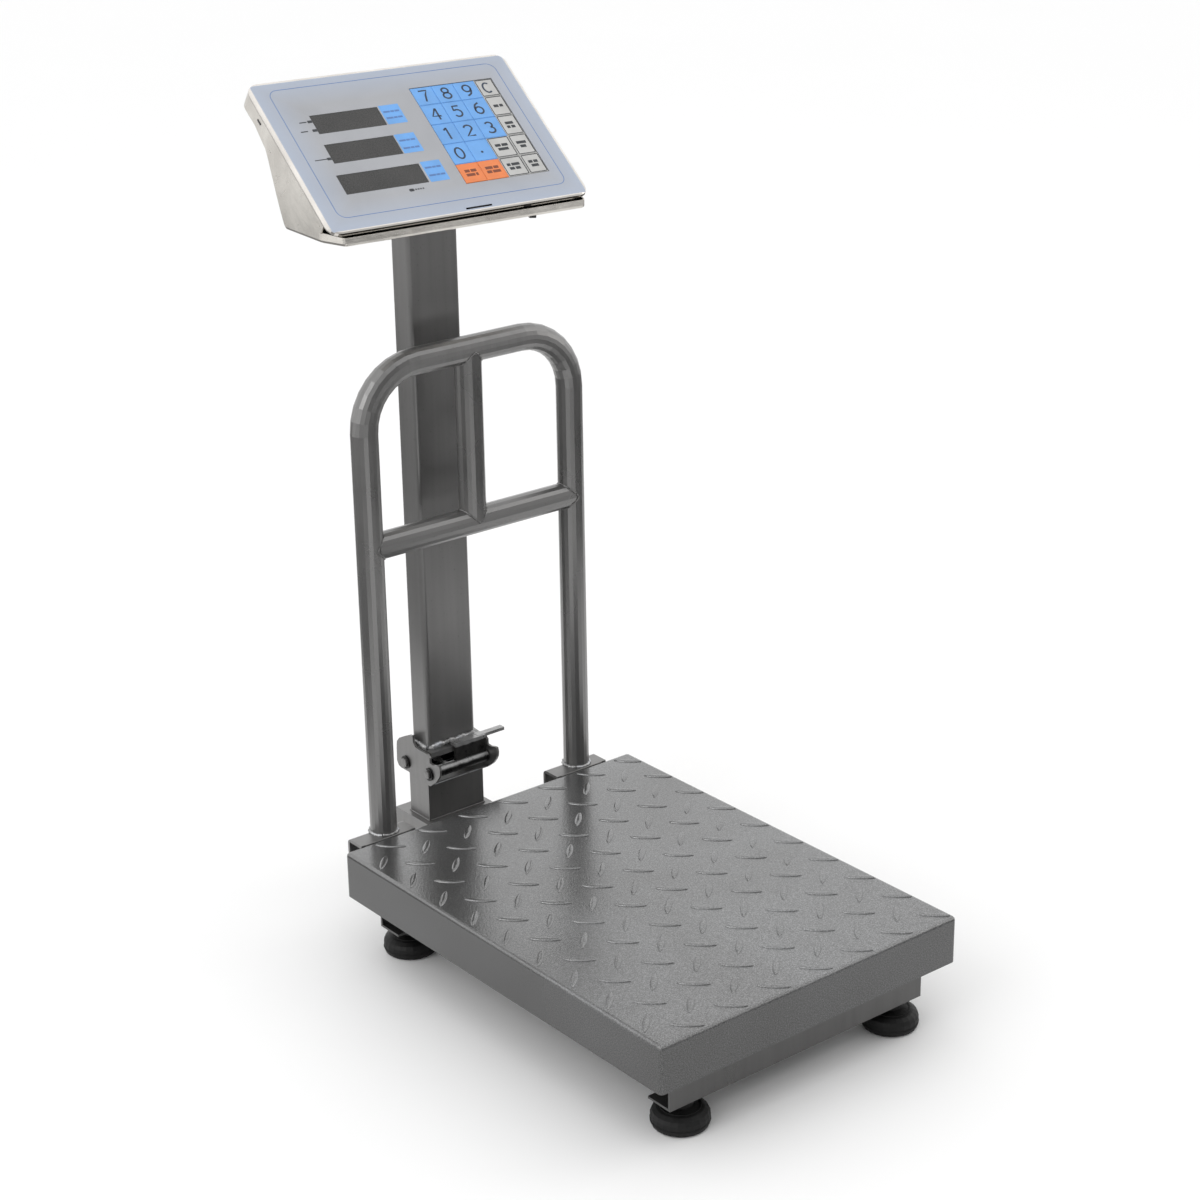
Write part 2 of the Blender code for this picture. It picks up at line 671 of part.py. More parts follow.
def make_latch_spring():
    """An extension spring that hangs on the hinge pin by a hook and ends in an eye behind the pawl's ear."""
    curve = bpy.data.curves.new("latch_spring", "CURVE")
    curve.dimensions = "3D"
    curve.bevel_depth = SPRING_WIRE
    curve.bevel_resolution = 1
    curve.use_fill_caps = True
    hook = HINGE_PIN_RADIUS + SPRING_WIRE + GAP
    points = [(0, y, z) for y, z in arc((HINGE_Y, HINGE_Z), hook, -110, 95, 12)]
    steps = 10 * SPRING_TURNS
    axis_z = HINGE_Z + hook - SPRING_RADIUS + 0.0006
    for step in range(steps + 1):
        angle = math.radians(36 * step)
        y = SPRING_BACK + (SPRING_FRONT - SPRING_BACK) * step / steps
        points.append((SPRING_RADIUS * math.sin(angle), y, axis_z + SPRING_RADIUS * math.cos(angle)))
    points += [(0, y, z) for y, z in arc((EYE_Y, axis_z), EYE_RADIUS, 50, 330, 12)]
    points = [(SPRING_X + x, y - HINGE_Y, z - HINGE_Z) for x, y, z in points]
    add_spline(curve, points, cyclic=False)
    as_mesh(finish(bpy.data.objects.new("latch_spring", curve), ROOT, (0, HINGE_Y, HINGE_Z), "bright_steel"))


def make_column():
    bottom = SHOE_TOP - SHOE_PLATE
    eye = 0.0063
    lug = arc((HINGE_Y, HINGE_Z), eye, 180, 360, 8) + [(HINGE_Y + eye, bottom + 0.001), (HINGE_Y - eye, bottom + 0.001)]
    hole = circle((HINGE_Y, HINGE_Z), HINGE_PIN_RADIUS + GAP, 16)
    half = SHOE_HALF_WIDTH
    shoe = box("column_shoe", (-half, SHOE_FRONT, bottom), (half, SHOE_BACK, SHOE_TOP), HINGE, "grey_steel")
    for side, low in (("left", -half), ("right", half - SHOE_LUG)):
        join(shoe, plate(f"shoe_lug_{side}", [lug, hole], low, low + SHOE_LUG, HINGE, facing=ALONG_X))

    outer = rounded_rectangle(COLUMN_WIDTH, COLUMN_DEPTH, COLUMN_RADIUS)
    wall = COLUMN_WALL
    inner = rounded_rectangle(COLUMN_WIDTH - 2 * wall, COLUMN_DEPTH - 2 * wall, COLUMN_RADIUS - wall)
    outlines = [[(x, y + COLUMN_Y) for x, y in outline] for outline in (outer, inner)]
    tube = plate("column_tube", outlines, SHOE_TOP + GAP, COLUMN_TOP, HINGE, "grey_steel")
    smooth(tube)
    low, high = (-0.038, COLUMN_Y - 0.030, COLUMN_TOP + GAP), (0.038, COLUMN_Y + 0.014, HEAD_FLOOR - GAP)
    box("head_mount", low, high, HINGE, "grey_steel")


def seam(y):
    """Height of the seam between the shell and the band, at a distance behind the column's middle."""
    return SEAM_Z + SEAM_SLOPE * y


def chamfer_corner(shape, side, first, second):
    """Cuts an upright corner off an open skin between two points in plan, and closes the cut with one face."""
    along = Vector((second[0] - first[0], second[1] - first[1], 0))
    outward = Vector((along.y, -along.x, 0)).normalized()
    if outward.x < 0:
        outward.negate()
    point = Vector((side * first[0], first[1], 0))
    normal = Vector((side * outward.x, outward.y, 0))
    everything = shape.verts[:] + shape.edges[:] + shape.faces[:]
    bmesh.ops.bisect_plane(shape, geom=everything, plane_co=point, plane_no=normal, clear_outer=True)
    rim = [vert for vert in shape.verts if abs((vert.co - point).dot(normal)) < 1e-6]
    bmesh.ops.contextual_create(shape, geom=rim)


def make_head_shell():
    """A sheet tub, open towards the face: its lip shows below the face, and its back slopes down to a flat floor."""
    lip = HEAD_FLOOR + LIP_HEIGHT
    lip_end = (lip - SEAM_Z) / SEAM_SLOPE
    outline = [
        (SHELL_FRONT, HEAD_FLOOR),
        (SHELL_FRONT, lip),
        (lip_end, lip),
        (SHELL_REAR, seam(SHELL_REAR) - 0.0010),
        (SHELL_REAR, seam(SHELL_REAR) - 0.0045),
        (0.0445, 0.6580),
        (0.0365, 0.6410),
        (0.0240, 0.6100),
        (0.0165, 0.5945),
        (0.0130, HEAD_FLOOR),
    ]
    shape = bmesh.new()
    rings = [[shape.verts.new((side * SHELL_HALF_WIDTH, y, z)) for y, z in outline] for side in (-1, 1)]
    for ring in rings:
        shape.faces.new(ring)
    closed_edges = [0] + list(range(3, len(outline)))  # the lip's top and the slope behind it stay open
    for index in closed_edges:
        following = (index + 1) % len(outline)
        shape.faces.new((rings[0][index], rings[1][index], rings[1][following], rings[0][following]))
    for side in (-1, 1):
        chamfer_corner(shape, side, (SHELL_HALF_WIDTH - 0.008, SHELL_FRONT), (SHELL_HALF_WIDTH, -0.046))
        chamfer_corner(shape, side, (SHELL_HALF_WIDTH - 0.008, SHELL_REAR), (SHELL_HALF_WIDTH, 0.0665))
    bmesh.ops.recalc_face_normals(shape, faces=shape.faces)
    floor = min(shape.faces, key=lambda face: face.calc_center_median().z)
    if floor.normal.z > 0:
        bmesh.ops.reverse_faces(shape, faces=shape.faces[:])
    level = [edge for edge in shape.edges if len(edge.link_faces) == 2]
    bmesh.ops.bevel(shape, geom=level, offset=0.0025, segments=2, profile=0.5, affect="EDGES")
    shell = finish(mesh_object("head_shell", shape), HEAD, (0, 0, 0), "stainless")
    sheet = shell.modifiers.new("sheet", "SOLIDIFY")
    sheet.thickness = HEAD_SHEET
    sheet.offset = -1
    low = (ROCKER_X - 0.0036, ROCKER_Y - 0.0067, HEAD_FLOOR - 0.005)
    high = (ROCKER_X + 0.0036, ROCKER_Y + 0.0067, HEAD_FLOOR + 0.005)
    cut(shell, box("rocker_hole", low, high, HEAD))
    smooth(shell)


def make_bezel_frame():
    """A band of sheet round three sides of the head, between the cover's rim and the shell. It is open at the front."""
    half = COVER_WIDTH / 2
    corners = rounded_rectangle(COVER_WIDTH, COVER_HEIGHT, COVER_CORNER)
    rear = [point for point in corners if point[1] > 0]
    path = [(half, BAND_FRONT)] + rear + [(-half, BAND_FRONT)]
    top = -COVER_SKIRT - GAP
    shape = bmesh.new()
    rings = [[shape.verts.new((x, y, height)) for x, y in path] for height in (top, -BAND_DEEPEST)]
    for index in range(len(path) - 1):
        shape.faces.new((rings[0][index], rings[1][index], rings[1][index + 1], rings[0][index + 1]))
    # The seam's plane as the tilted face sees it.
    sine, cosine = math.sin(FACE_TILT), math.cos(FACE_TILT)
    below_face = (SEAM_Z + GAP - FACE_Z) / (cosine + SEAM_SLOPE * sine)
    normal = (0, sine - SEAM_SLOPE * cosine, cosine + SEAM_SLOPE * sine)
    everything = shape.verts[:] + shape.edges[:] + shape.faces[:]
    cut_at = (0, 0, below_face)
    bmesh.ops.bisect_plane(shape, geom=everything, plane_co=cut_at, plane_no=normal, clear_inner=True)
    band = finish(mesh_object("bezel_frame", shape), FACE, (0, 0, 0), "stainless")
    sheet = band.modifiers.new("sheet", "SOLIDIFY")
    sheet.thickness = HEAD_SHEET
    sheet.offset = -1
    smooth(band)


def make_face_cover():
    """The printed front: a shallow sheet lid with rounded corners, open at the back and cut for windows and keys."""
    shape = bmesh.new()
    corners = rounded_rectangle(COVER_WIDTH, COVER_HEIGHT, COVER_CORNER)
    top = [shape.verts.new((x, y, 0)) for x, y in corners]
    bottom = [shape.verts.new((x, y, -COVER_SKIRT)) for x, y in corners]
    shape.faces.new(top)
    rim = []
    for index, vert in enumerate(top):
        following = (index + 1) % len(top)
        shape.faces.new((top[following], vert, bottom[index], bottom[following]))
        rim.append(shape.edges.get((vert, top[following])))
    bmesh.ops.recalc_face_normals(shape, faces=shape.faces)
    bmesh.ops.bevel(shape, geom=rim, offset=COVER_EDGE_RADIUS, segments=2, profile=0.5, affect="EDGES")
    cover = finish(mesh_object("face_cover", shape), FACE, (0, 0, 0), "face_print")
    sheet = cover.modifiers.new("sheet", "SOLIDIFY")
    sheet.thickness = HEAD_SHEET
    sheet.offset = -1
    for name, (left, right, low, high) in WINDOWS.items():
        cut(cover, box(f"{name}_opening", (left, low, -0.005), (right, high, 0.005), FACE))
    left, right = KEY_COLUMNS[0] - GAP, KEY_COLUMNS[-1] + GAP
    low, high = KEY_ROWS[-1] - GAP, KEY_ROWS[0] + GAP
    cut(cover, box("keypad_opening", (left, low, -0.005), (right, high, 0.005), FACE))
    smooth(cover)


def make_windows():
    for name, (left, right, low, high) in WINDOWS.items():
        corner_low = (left + GAP, low + GAP, -0.0042)
        corner_high = (right - GAP, high - GAP, -0.0003)
        box(name, corner_low, corner_high, FACE, "window_glass")


def make_keys():
    slot = KEY_SLOT / 2
    for row, names in enumerate(KEY_NAMES):
        for column, name in enumerate(names):
            low = (KEY_COLUMNS[column] + slot, KEY_ROWS[row + 1] + slot, -KEY_THICKNESS)
            high = (KEY_COLUMNS[column + 1] - slot, KEY_ROWS[row] - slot, 0)
            colour = "blue_key" if name in BLUE_KEYS else "orange_key" if name in ORANGE_KEYS else "grey_key"
            box(name, low, high, FACE, colour, bevel=0.0003)


def make_head_inside():
    board_low = (-0.105, -0.064, BOARD_TOP - BOARD_THICKNESS)
    box("circuit_board", board_low, (0.105, 0.070, BOARD_TOP), FACE, "circuit_board")
    floor = HEAD_FLOOR + HEAD_SHEET
    box("battery", (-0.050, -0.0145, floor + GAP), (0.050, 0.0105, floor + 0.026), HEAD, "battery_case", bevel=0.001)


def make_power_rocker():
    """A small rocker in the head's floor, resting on one end of its travel."""
    axis = (ROCKER_X, ROCKER_Y, HEAD_FLOOR + 0.0008)
    half_width, half_length = 0.003, 0.0061
    shape = [(-half_length, -0.0030), (0, -0.0018), (half_length, -0.0030), (half_length, 0.0006), (-half_length, 0.0006)]
    rocker = plate("power_rocker", [shape], -half_width, half_width, HEAD, "black_plastic", ALONG_X)
    rocker.location = axis
    rocker.rotation_euler = (math.pi / 2 + ROCKER_TILT, 0, math.pi / 2)


make_base_frame()
make_feet()
make_load_cell()
make_spider()
make_pan()
make_rail()
make_rail_feet()
make_column_foot()
make_hinge_bracket()
make_hinge_and_rod()
make_latch_pawl()
make_latch_spring()
make_column()
make_head_shell()
make_bezel_frame()
make_face_cover()
make_windows()
make_keys()
make_head_inside()
make_power_rocker()
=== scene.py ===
"""Looks of the platform shipping scale on its CAD frame: materials, tread, welds, fasteners and print."""

import json
import math
import random

import bmesh
import bpy
from mathutils import Matrix, Vector


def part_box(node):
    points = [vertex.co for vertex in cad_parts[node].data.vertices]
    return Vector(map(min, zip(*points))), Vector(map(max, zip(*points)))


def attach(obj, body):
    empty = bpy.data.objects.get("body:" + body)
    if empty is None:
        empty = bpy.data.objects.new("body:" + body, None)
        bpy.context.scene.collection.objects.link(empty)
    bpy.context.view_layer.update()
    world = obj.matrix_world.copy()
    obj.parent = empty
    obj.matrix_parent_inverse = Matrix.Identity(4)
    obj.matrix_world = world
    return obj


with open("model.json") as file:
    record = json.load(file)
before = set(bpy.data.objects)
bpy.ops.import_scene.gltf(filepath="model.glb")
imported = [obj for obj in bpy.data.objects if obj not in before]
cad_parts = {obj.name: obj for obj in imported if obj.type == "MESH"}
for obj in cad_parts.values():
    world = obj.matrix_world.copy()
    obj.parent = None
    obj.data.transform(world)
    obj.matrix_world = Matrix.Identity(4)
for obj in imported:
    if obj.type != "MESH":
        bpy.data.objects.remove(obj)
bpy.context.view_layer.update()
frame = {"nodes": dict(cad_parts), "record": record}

# Places that the CAD shares. X and Y values are measured from the middle of the platform.
PAN_LOW, PAN_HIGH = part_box("pan_tray")
PAN_MIDDLE_Y = (PAN_LOW.y + PAN_HIGH.y) / 2
PAN_TOP = PAN_HIGH.z
HEAD_Y = 0.2676
HEAD_TURN = math.radians(-4.54)
FACE_Z = 0.6478
FACE_TILT = math.radians(36.68)
RAIL_Y = 0.2135
RAIL_HALF_WIDTH = 0.1025
RAIL_RADIUS = 0.0112
CROSSBAR_Z = 0.342
RAIL_TOP_LINE = 0.4875
COLUMN_Y = 0.268
COLUMN_FOOT = 0.1282
HINGE_PIN = (0.2808, 0.1095)
LATCH_ROD = (0.2465, 0.1098)
FOOT_X, FOOT_Y = 0.1082, 0.1721


def at(x, y, z):
    """A point given from the middle of the platform."""
    return Vector((x, y + PAN_MIDDLE_Y, z))


HEAD = Matrix.Translation(at(0, HEAD_Y, 0)) @ Matrix.Rotation(HEAD_TURN, 4, "Z")
FACE = HEAD @ Matrix.Translation((0, 0, FACE_Z)) @ Matrix.Rotation(FACE_TILT, 4, "X")

# ------------------------------------------------------------------ materials


class Nodes:
    """A short way to build a material's node tree."""

    def __init__(self, name):
        self.material = bpy.data.materials.new(name)
        self.material.use_nodes = True
        self.tree = self.material.node_tree
        self.shader = self.tree.nodes["Principled BSDF"]
        self.coords = self.add("ShaderNodeTexCoord").outputs["Object"]

    def add(self, kind, **settings):
        node = self.tree.nodes.new(kind)
        for key, value in settings.items():
            setattr(node, key, value)
        return node

    def link(self, source, target):
        self.tree.links.new(source, target)

    def feed(self, socket, value):
        """Sets a socket to a number or a colour, or links another node's output to it."""
        if isinstance(value, (int, float)):
            socket.default_value = value
        elif isinstance(value, tuple):
            socket.default_value = (*value, 1.0)
        else:
            self.link(value, socket)

    def mapped(self, scale):
        node = self.add("ShaderNodeMapping")
        node.inputs["Scale"].default_value = scale
        self.link(self.coords, node.inputs["Vector"])
        return node.outputs["Vector"]

    def noise(self, scale, detail=3.0, roughness=0.5, stretch=(1, 1, 1), distortion=0.0):
        node = self.add("ShaderNodeTexNoise")
        node.inputs["Scale"].default_value = scale
        node.inputs["Detail"].default_value = detail
        node.inputs["Roughness"].default_value = roughness
        node.inputs["Distortion"].default_value = distortion
        self.link(self.mapped(stretch), node.inputs["Vector"])
        return node.outputs["Fac"]

    def ramp(self, source, stops):
        node = self.add("ShaderNodeValToRGB")
        elements = node.color_ramp.elements
        while len(elements) < len(stops):
            elements.new(0.5)
        for element, (position, colour) in zip(elements, stops):
            element.position = position
            element.color = (*colour, 1.0)
        self.link(source, node.inputs["Fac"])
        return node.outputs["Color"]

    def spread(self, source, low, high, new_low, new_high):
        node = self.add("ShaderNodeMapRange")
        names = ("From Min", "From Max", "To Min", "To Max")
        for name, value in zip(names, (low, high, new_low, new_high)):
            node.inputs[name].default_value = value
        self.link(source, node.inputs["Value"])
        return node.outputs["Result"]

    def blend(self, noise, low, high):
        """A colour that runs between two with a noise."""
        return self.ramp(noise, ((0.3, low), (0.7, high)))

    def vary(self, noise, low, high):
        """A number that runs between two with a noise."""
        return self.spread(noise, 0.3, 0.7, low, high)

    def math(self, operation, first, second):
        node = self.add("ShaderNodeMath", operation=operation)
        for socket, value in zip(node.inputs, (first, second)):
            self.feed(socket, value)
        return node.outputs["Value"]

    def mix(self, factor, first, second, blend="MIX"):
        node = self.add("ShaderNodeMix", data_type="RGBA", blend_type=blend)
        for name, value in (("Factor", factor), ("A", first), ("B", second)):
            self.feed(node.inputs[name], value)
        return node.outputs["Result"]

    def separate(self, source=None):
        node = self.add("ShaderNodeSeparateXYZ")
        self.link(source or self.coords, node.inputs["Vector"])
        return node.outputs

    def bump(self, height, distance, strength=1.0, before=None):
        node = self.add("ShaderNodeBump")
        node.inputs["Strength"].default_value = strength
        node.inputs["Distance"].default_value = distance
        self.link(height, node.inputs["Height"])
        if before:
            self.link(before, node.inputs["Normal"])
        return node.outputs["Normal"]

    def finish(self, colour=None, roughness=None, normal=None, metallic=None, **settings):
        inputs = {"Base Color": colour, "Roughness": roughness, "Metallic": metallic, "Normal": normal}
        for name, value in inputs.items():
            if value is not None:
                self.feed(self.shader.inputs[name], value)
        for key, value in settings.items():
            self.shader.inputs[key.replace("_", " ")].default_value = value
        return self.material


def grey(value, warmth=0.0):
    return (value * (1 + warmth), value, value * (1 - warmth))


# Heights where the colour changes: the platform's skirt (painted shade), and the pawl's tube (a painted
# highlight over painted shade), plate and lip
SKIRT_SHADE_Z = (PAN_TOP - 0.0035, PAN_TOP - 0.0012)
TUBE_HIGHLIGHT_Z = (0.1112, 0.1128)
PLATE_Z = (0.1146, 0.1154)
LIP_Z = (0.1272, 0.1282)

# Where the face's film ends and its border fades, in the face's own coordinates
FILM_SIDES = (0.1160, 0.1166)
FILM_ENDS = (0.0774, 0.0780)
FILM_DEPTH = (-0.0007, -0.0003)
BORDER_SIDES = (0.085, 0.119)
BORDER_ENDS = (0.050, 0.080)

STEEL_WARMTH = 0.01
STEEL_GRAIN = 0.00004


def sheet_steel(name, tone, roughness=(0.26, 0.42), streak=(1, 1, 0.06)):
    """Silver-grey coated steel: cloudy tone, drawn streaks, a fine grain and scattered darker specks."""
    n = Nodes(name)
    clouds = n.noise(9, detail=4, distortion=0.6)
    streaks = n.noise(160, detail=2, stretch=streak)
    fine = n.noise(1500, detail=2)
    specks = n.noise(420, detail=2, roughness=0.7)

    def shade(part):
        return grey(tone * part, STEEL_WARMTH)

    base = n.blend(clouds, shade(0.86), shade(1.12))
    base = n.mix(0.5, base, n.blend(streaks, shade(0.9), shade(1.1)))
    base = n.mix(n.spread(specks, 0.66, 0.74, 0.0, 0.35), base, shade(0.45))
    rough = n.vary(clouds, *roughness)
    normal = n.bump(fine, STEEL_GRAIN, 0.5)
    normal = n.bump(clouds, 0.0006, 0.35, before=normal)
    return n.finish(base, rough, normal, 0.85, Coat_Weight=0.12, Coat_Roughness=0.12)


def tread_steel(name, tone):
    """The platform's plate: speckled, above all towards its front, with painted shade darkening its skirt."""
    n = Nodes(name)
    clouds = n.noise(6, detail=4, distortion=0.8)
    fine = n.noise(1100, detail=3, roughness=0.65)
    coarse = n.noise(520, detail=2, roughness=0.6)
    place = n.separate()
    towards_front = n.spread(place["Y"], PAN_MIDDLE_Y + 0.10, PAN_MIDDLE_Y - 0.20, 0.0, 1.0)
    base = n.blend(clouds, grey(tone * 0.88), grey(tone * 1.1, -0.01))
    speckle = n.ramp(fine, ((0.35, grey(0.30)), (0.5, grey(0.5)), (0.68, grey(0.85))))
    base = n.mix(n.spread(towards_front, 0.0, 1.0, 0.5, 0.95), base, speckle, blend="OVERLAY")
    # Painted shade: the skirt below the plate's top is darkened halfway to near black
    base = n.mix(n.spread(place["Z"], *SKIRT_SHADE_Z, 0.50, 0.0), base, grey(0.03, 0.02))
    rough = n.spread(towards_front, 0.0, 1.0, 0.20, 0.34)
    rough = n.math("ADD", rough, n.vary(clouds, -0.03, 0.05))
    normal = n.bump(coarse, 0.00024, 0.5)
    normal = n.bump(clouds, 0.0008, 0.3, before=normal)
    return n.finish(base, rough, normal, 0.85, Coat_Weight=0.10, Coat_Roughness=0.12)


def weld_steel():
    """Bright rippled weld metal."""
    n = Nodes("weld_and_highlight_steel")
    ripples = n.noise(700, detail=3, roughness=0.6)
    clouds = n.noise(90, detail=3)
    base = n.ramp(clouds, ((0.3, grey(0.20)), (0.5, grey(0.42)), (0.72, (0.62, 0.64, 0.68))))
    normal = n.bump(ripples, 0.0004, 0.8)
    return n.finish(base, n.vary(clouds, 0.25, 0.5), normal, 0.9)


def dark_steel(name, tone):
    """Blackened steel with a cloudy tone."""
    n = Nodes(name)
    clouds = n.noise(120, detail=4)
    fine = n.noise(1400, detail=2)
    base = n.blend(clouds, grey(tone * 0.7), grey(tone * 1.4))
    return n.finish(base, n.vary(clouds, 0.25, 0.45), n.bump(fine, 0.00005, 0.5), 0.7)


def latch_steel():
    """The pawl: a painted highlight along the top of its tube over painted shade beneath, dark on the plate,
    lighter on the lip and tongue.
    """
    n = Nodes("latch_pawl_steel")
    clouds = n.noise(150, detail=4)
    fine = n.noise(1400, detail=2)
    z = n.math("ADD", n.separate()["Z"], n.vary(clouds, -0.0004, 0.0004))
    # Painted shade on the tube's underside, and a painted highlight along its top
    low = n.blend(clouds, grey(0.006), grey(0.018))
    high = n.blend(clouds, grey(0.26), grey(0.38))
    tube = n.mix(n.spread(z, *TUBE_HIGHLIGHT_Z, 0.0, 1.0), low, high)
    plate = n.blend(clouds, grey(0.020), grey(0.050, 0.04))
    lip = n.blend(clouds, grey(0.30), grey(0.42))
    base = n.mix(n.spread(z, *PLATE_Z, 0.0, 1.0), tube, plate)
    base = n.mix(n.spread(z, *LIP_Z, 0.0, 1.0), base, lip)
    rough = n.vary(clouds, 0.22, 0.4)
    return n.finish(base, rough, n.bump(fine, 0.00005, 0.5), 0.7)


def stainless_steel():
    """Thin polished sheet with a fine brushed grain and faint handling marks."""
    n = Nodes("polished_stainless")
    brushed = n.noise(900, detail=3, stretch=(0.03, 1, 1))
    clouds = n.noise(14, detail=4, distortion=1.2)
    smears = n.noise(60, detail=4, roughness=0.6, distortion=0.8)
    base = n.blend(clouds, (0.52, 0.495, 0.46), (0.70, 0.675, 0.63))
    base = n.mix(n.spread(smears, 0.60, 0.72, 0.0, 0.25), base, (0.42, 0.40, 0.37))
    rough = n.vary(smears, 0.16, 0.30)
    normal = n.bump(brushed, 0.00003, 0.4)
    normal = n.bump(clouds, 0.0007, 0.35, before=normal)
    return n.finish(base, rough, normal, 1.0, Anisotropic=0.3)


def face_coords(n):
    """The face's own coordinates, for print that fades towards its edges."""
    node = n.add("ShaderNodeMapping", vector_type="POINT")
    inverse = FACE.inverted()
    node.inputs["Location"].default_value = inverse.to_translation()
    node.inputs["Rotation"].default_value = inverse.to_euler()
    n.link(n.coords, node.inputs["Vector"])
    return n.separate(node.outputs["Vector"])


def face_film():
    """Printed film, bluer towards its border, on a polished cover with a bare rim and skirt."""
    n = Nodes("face_film")
    place = face_coords(n)
    across = n.math("ABSOLUTE", place["X"], 0.0)
    up = n.math("ABSOLUTE", place["Y"], 0.0)
    side, end = n.spread(across, *BORDER_SIDES, 0.0, 1.0), n.spread(up, *BORDER_ENDS, 0.0, 1.0)
    border = n.math("MAXIMUM", side, end)
    side, end = n.spread(across, *FILM_SIDES, 0.0, 1.0), n.spread(up, *FILM_ENDS, 0.0, 1.0)
    rim = n.math("MAXIMUM", side, end)
    rim = n.math("MAXIMUM", rim, n.spread(place["Z"], *FILM_DEPTH, 1.0, 0.0))
    clouds = n.noise(18, detail=3, distortion=0.5)
    film = n.blend(clouds, (0.37, 0.38, 0.405), (0.42, 0.43, 0.455))
    film = n.mix(n.spread(border, 0.0, 1.0, 0.0, 0.75), film, (0.43, 0.50, 0.63))
    bare = n.ramp(n.noise(40, detail=4), ((0.3, (0.60, 0.575, 0.54)), (0.7, (0.74, 0.71, 0.67))))
    fine = n.noise(2600, detail=2)
    rough = n.math("MINIMUM", n.vary(clouds, 0.30, 0.38), n.spread(rim, 0.0, 1.0, 0.5, 0.17))
    normal = n.bump(fine, 0.00002, 0.4)
    return n.finish(n.mix(rim, film, bare), rough, normal, rim, Specular_IOR_Level=0.35)


def plastic(name, colour, roughness=(0.30, 0.42), coat=0.0):
    """Satin plastic, film or ink with a slight change of tone."""
    n = Nodes(name)
    clouds = n.noise(70, detail=3)
    fine = n.noise(2200, detail=2)
    low = tuple(channel * 0.92 for channel in colour)
    high = tuple(channel * 1.08 for channel in colour)
    normal = n.bump(fine, 0.00003, 0.5)
    return n.finish(n.blend(clouds, low, high), n.vary(clouds, *roughness), normal, 0.0, Coat_Weight=coat)


def window_glass():
    """Dark tinted window."""
    n = Nodes("window_glass")
    clouds = n.noise(40, detail=2)
    fine = n.noise(1800, detail=1)
    base = n.blend(clouds, (0.022, 0.022, 0.021), (0.034, 0.033, 0.032))
    return n.finish(base, n.vary(fine, 0.24, 0.30), n.bump(fine, 0.00001, 0.3), 0.0)


def rubber():
    """Black moulded rubber."""
    n = Nodes("moulded_rubber")
    clouds = n.noise(80, detail=4)
    fine = n.noise(1300, detail=3)
    base = n.blend(clouds, grey(0.0015), grey(0.005))
    normal = n.bump(fine, 0.00010, 0.6)
    return n.finish(base, n.vary(clouds, 0.48, 0.66), normal, 0.0, Specular_IOR_Level=0.35)


def board():
    """Green circuit board with darker tracks."""
    n = Nodes("circuit_board_green")
    tracks = n.noise(220, detail=2, stretch=(1, 0.2, 1))
    base = n.ramp(tracks, ((0.45, (0.012, 0.09, 0.035)), (0.55, (0.03, 0.16, 0.06))))
    return n.finish(base, 0.45, n.bump(tracks, 0.0001, 0.5), 0.0)


def plain_metal(name, colour, roughness):
    """Bare metal with a cloudy tone."""
    n = Nodes(name)
    clouds = n.noise(200, detail=3)
    low = tuple(channel * 0.85 for channel in colour)
    base = n.blend(clouds, low, colour)
    rough = n.vary(clouds, roughness - 0.06, roughness + 0.06)
    return n.finish(base, rough, n.bump(clouds, 0.00005, 0.5), 1.0)


ALONG_POST = (1, 1, 0.04)
ALONG_BAR = (0.04, 1, 1)
FRAME_STEEL = sheet_steel("frame_steel", 0.21)
COLUMN_STEEL = sheet_steel("column_steel", 0.20, streak=(1, 1, 0.03))
RAIL_STEEL = sheet_steel("rail_steel", 0.20, roughness=(0.22, 0.34), streak=ALONG_POST)
BAR_STEEL = sheet_steel("bar_steel", 0.20, roughness=(0.22, 0.34), streak=ALONG_BAR)
BASE_STEEL = sheet_steel("base_steel", 0.115)
TREAD_STEEL = tread_steel("tread_plate_steel", 0.205)
WELD_AND_HIGHLIGHT = weld_steel()
BLACK_STEEL_AND_SHADE = dark_steel("blackened_steel_and_shade", 0.020)
PIN_STEEL = plain_metal("plated_pin_steel", (0.40, 0.40, 0.41), 0.3)
LATCH_STEEL = latch_steel()
STAINLESS = stainless_steel()
FACE_FILM = face_film()
GLASS = window_glass()
RUBBER = rubber()
BLUE = plastic("blue_film", (0.135, 0.370, 0.780), coat=0.1)
ORANGE = plastic("orange_film", (0.80, 0.215, 0.055), coat=0.1)
GREY_KEY = plastic("grey_film", (0.500, 0.500, 0.490), coat=0.1)
INK_ROUGHNESS = (0.35, 0.5)
NAVY_INK = plastic("navy_ink", (0.012, 0.030, 0.065), INK_ROUGHNESS)
BLUE_INK = plastic("blue_ink", (0.085, 0.185, 0.440), INK_ROUGHNESS)
DARK_INK = plastic("dark_ink", (0.020, 0.024, 0.030), INK_ROUGHNESS)
BROWN_INK = plastic("brown_ink", (0.20, 0.045, 0.012), INK_ROUGHNESS)
BLACK_PLASTIC_AND_SHADE = plastic("black_plastic", (0.012, 0.012, 0.013))
CASE_PLASTIC = plastic("battery_plastic", (0.045, 0.045, 0.055))

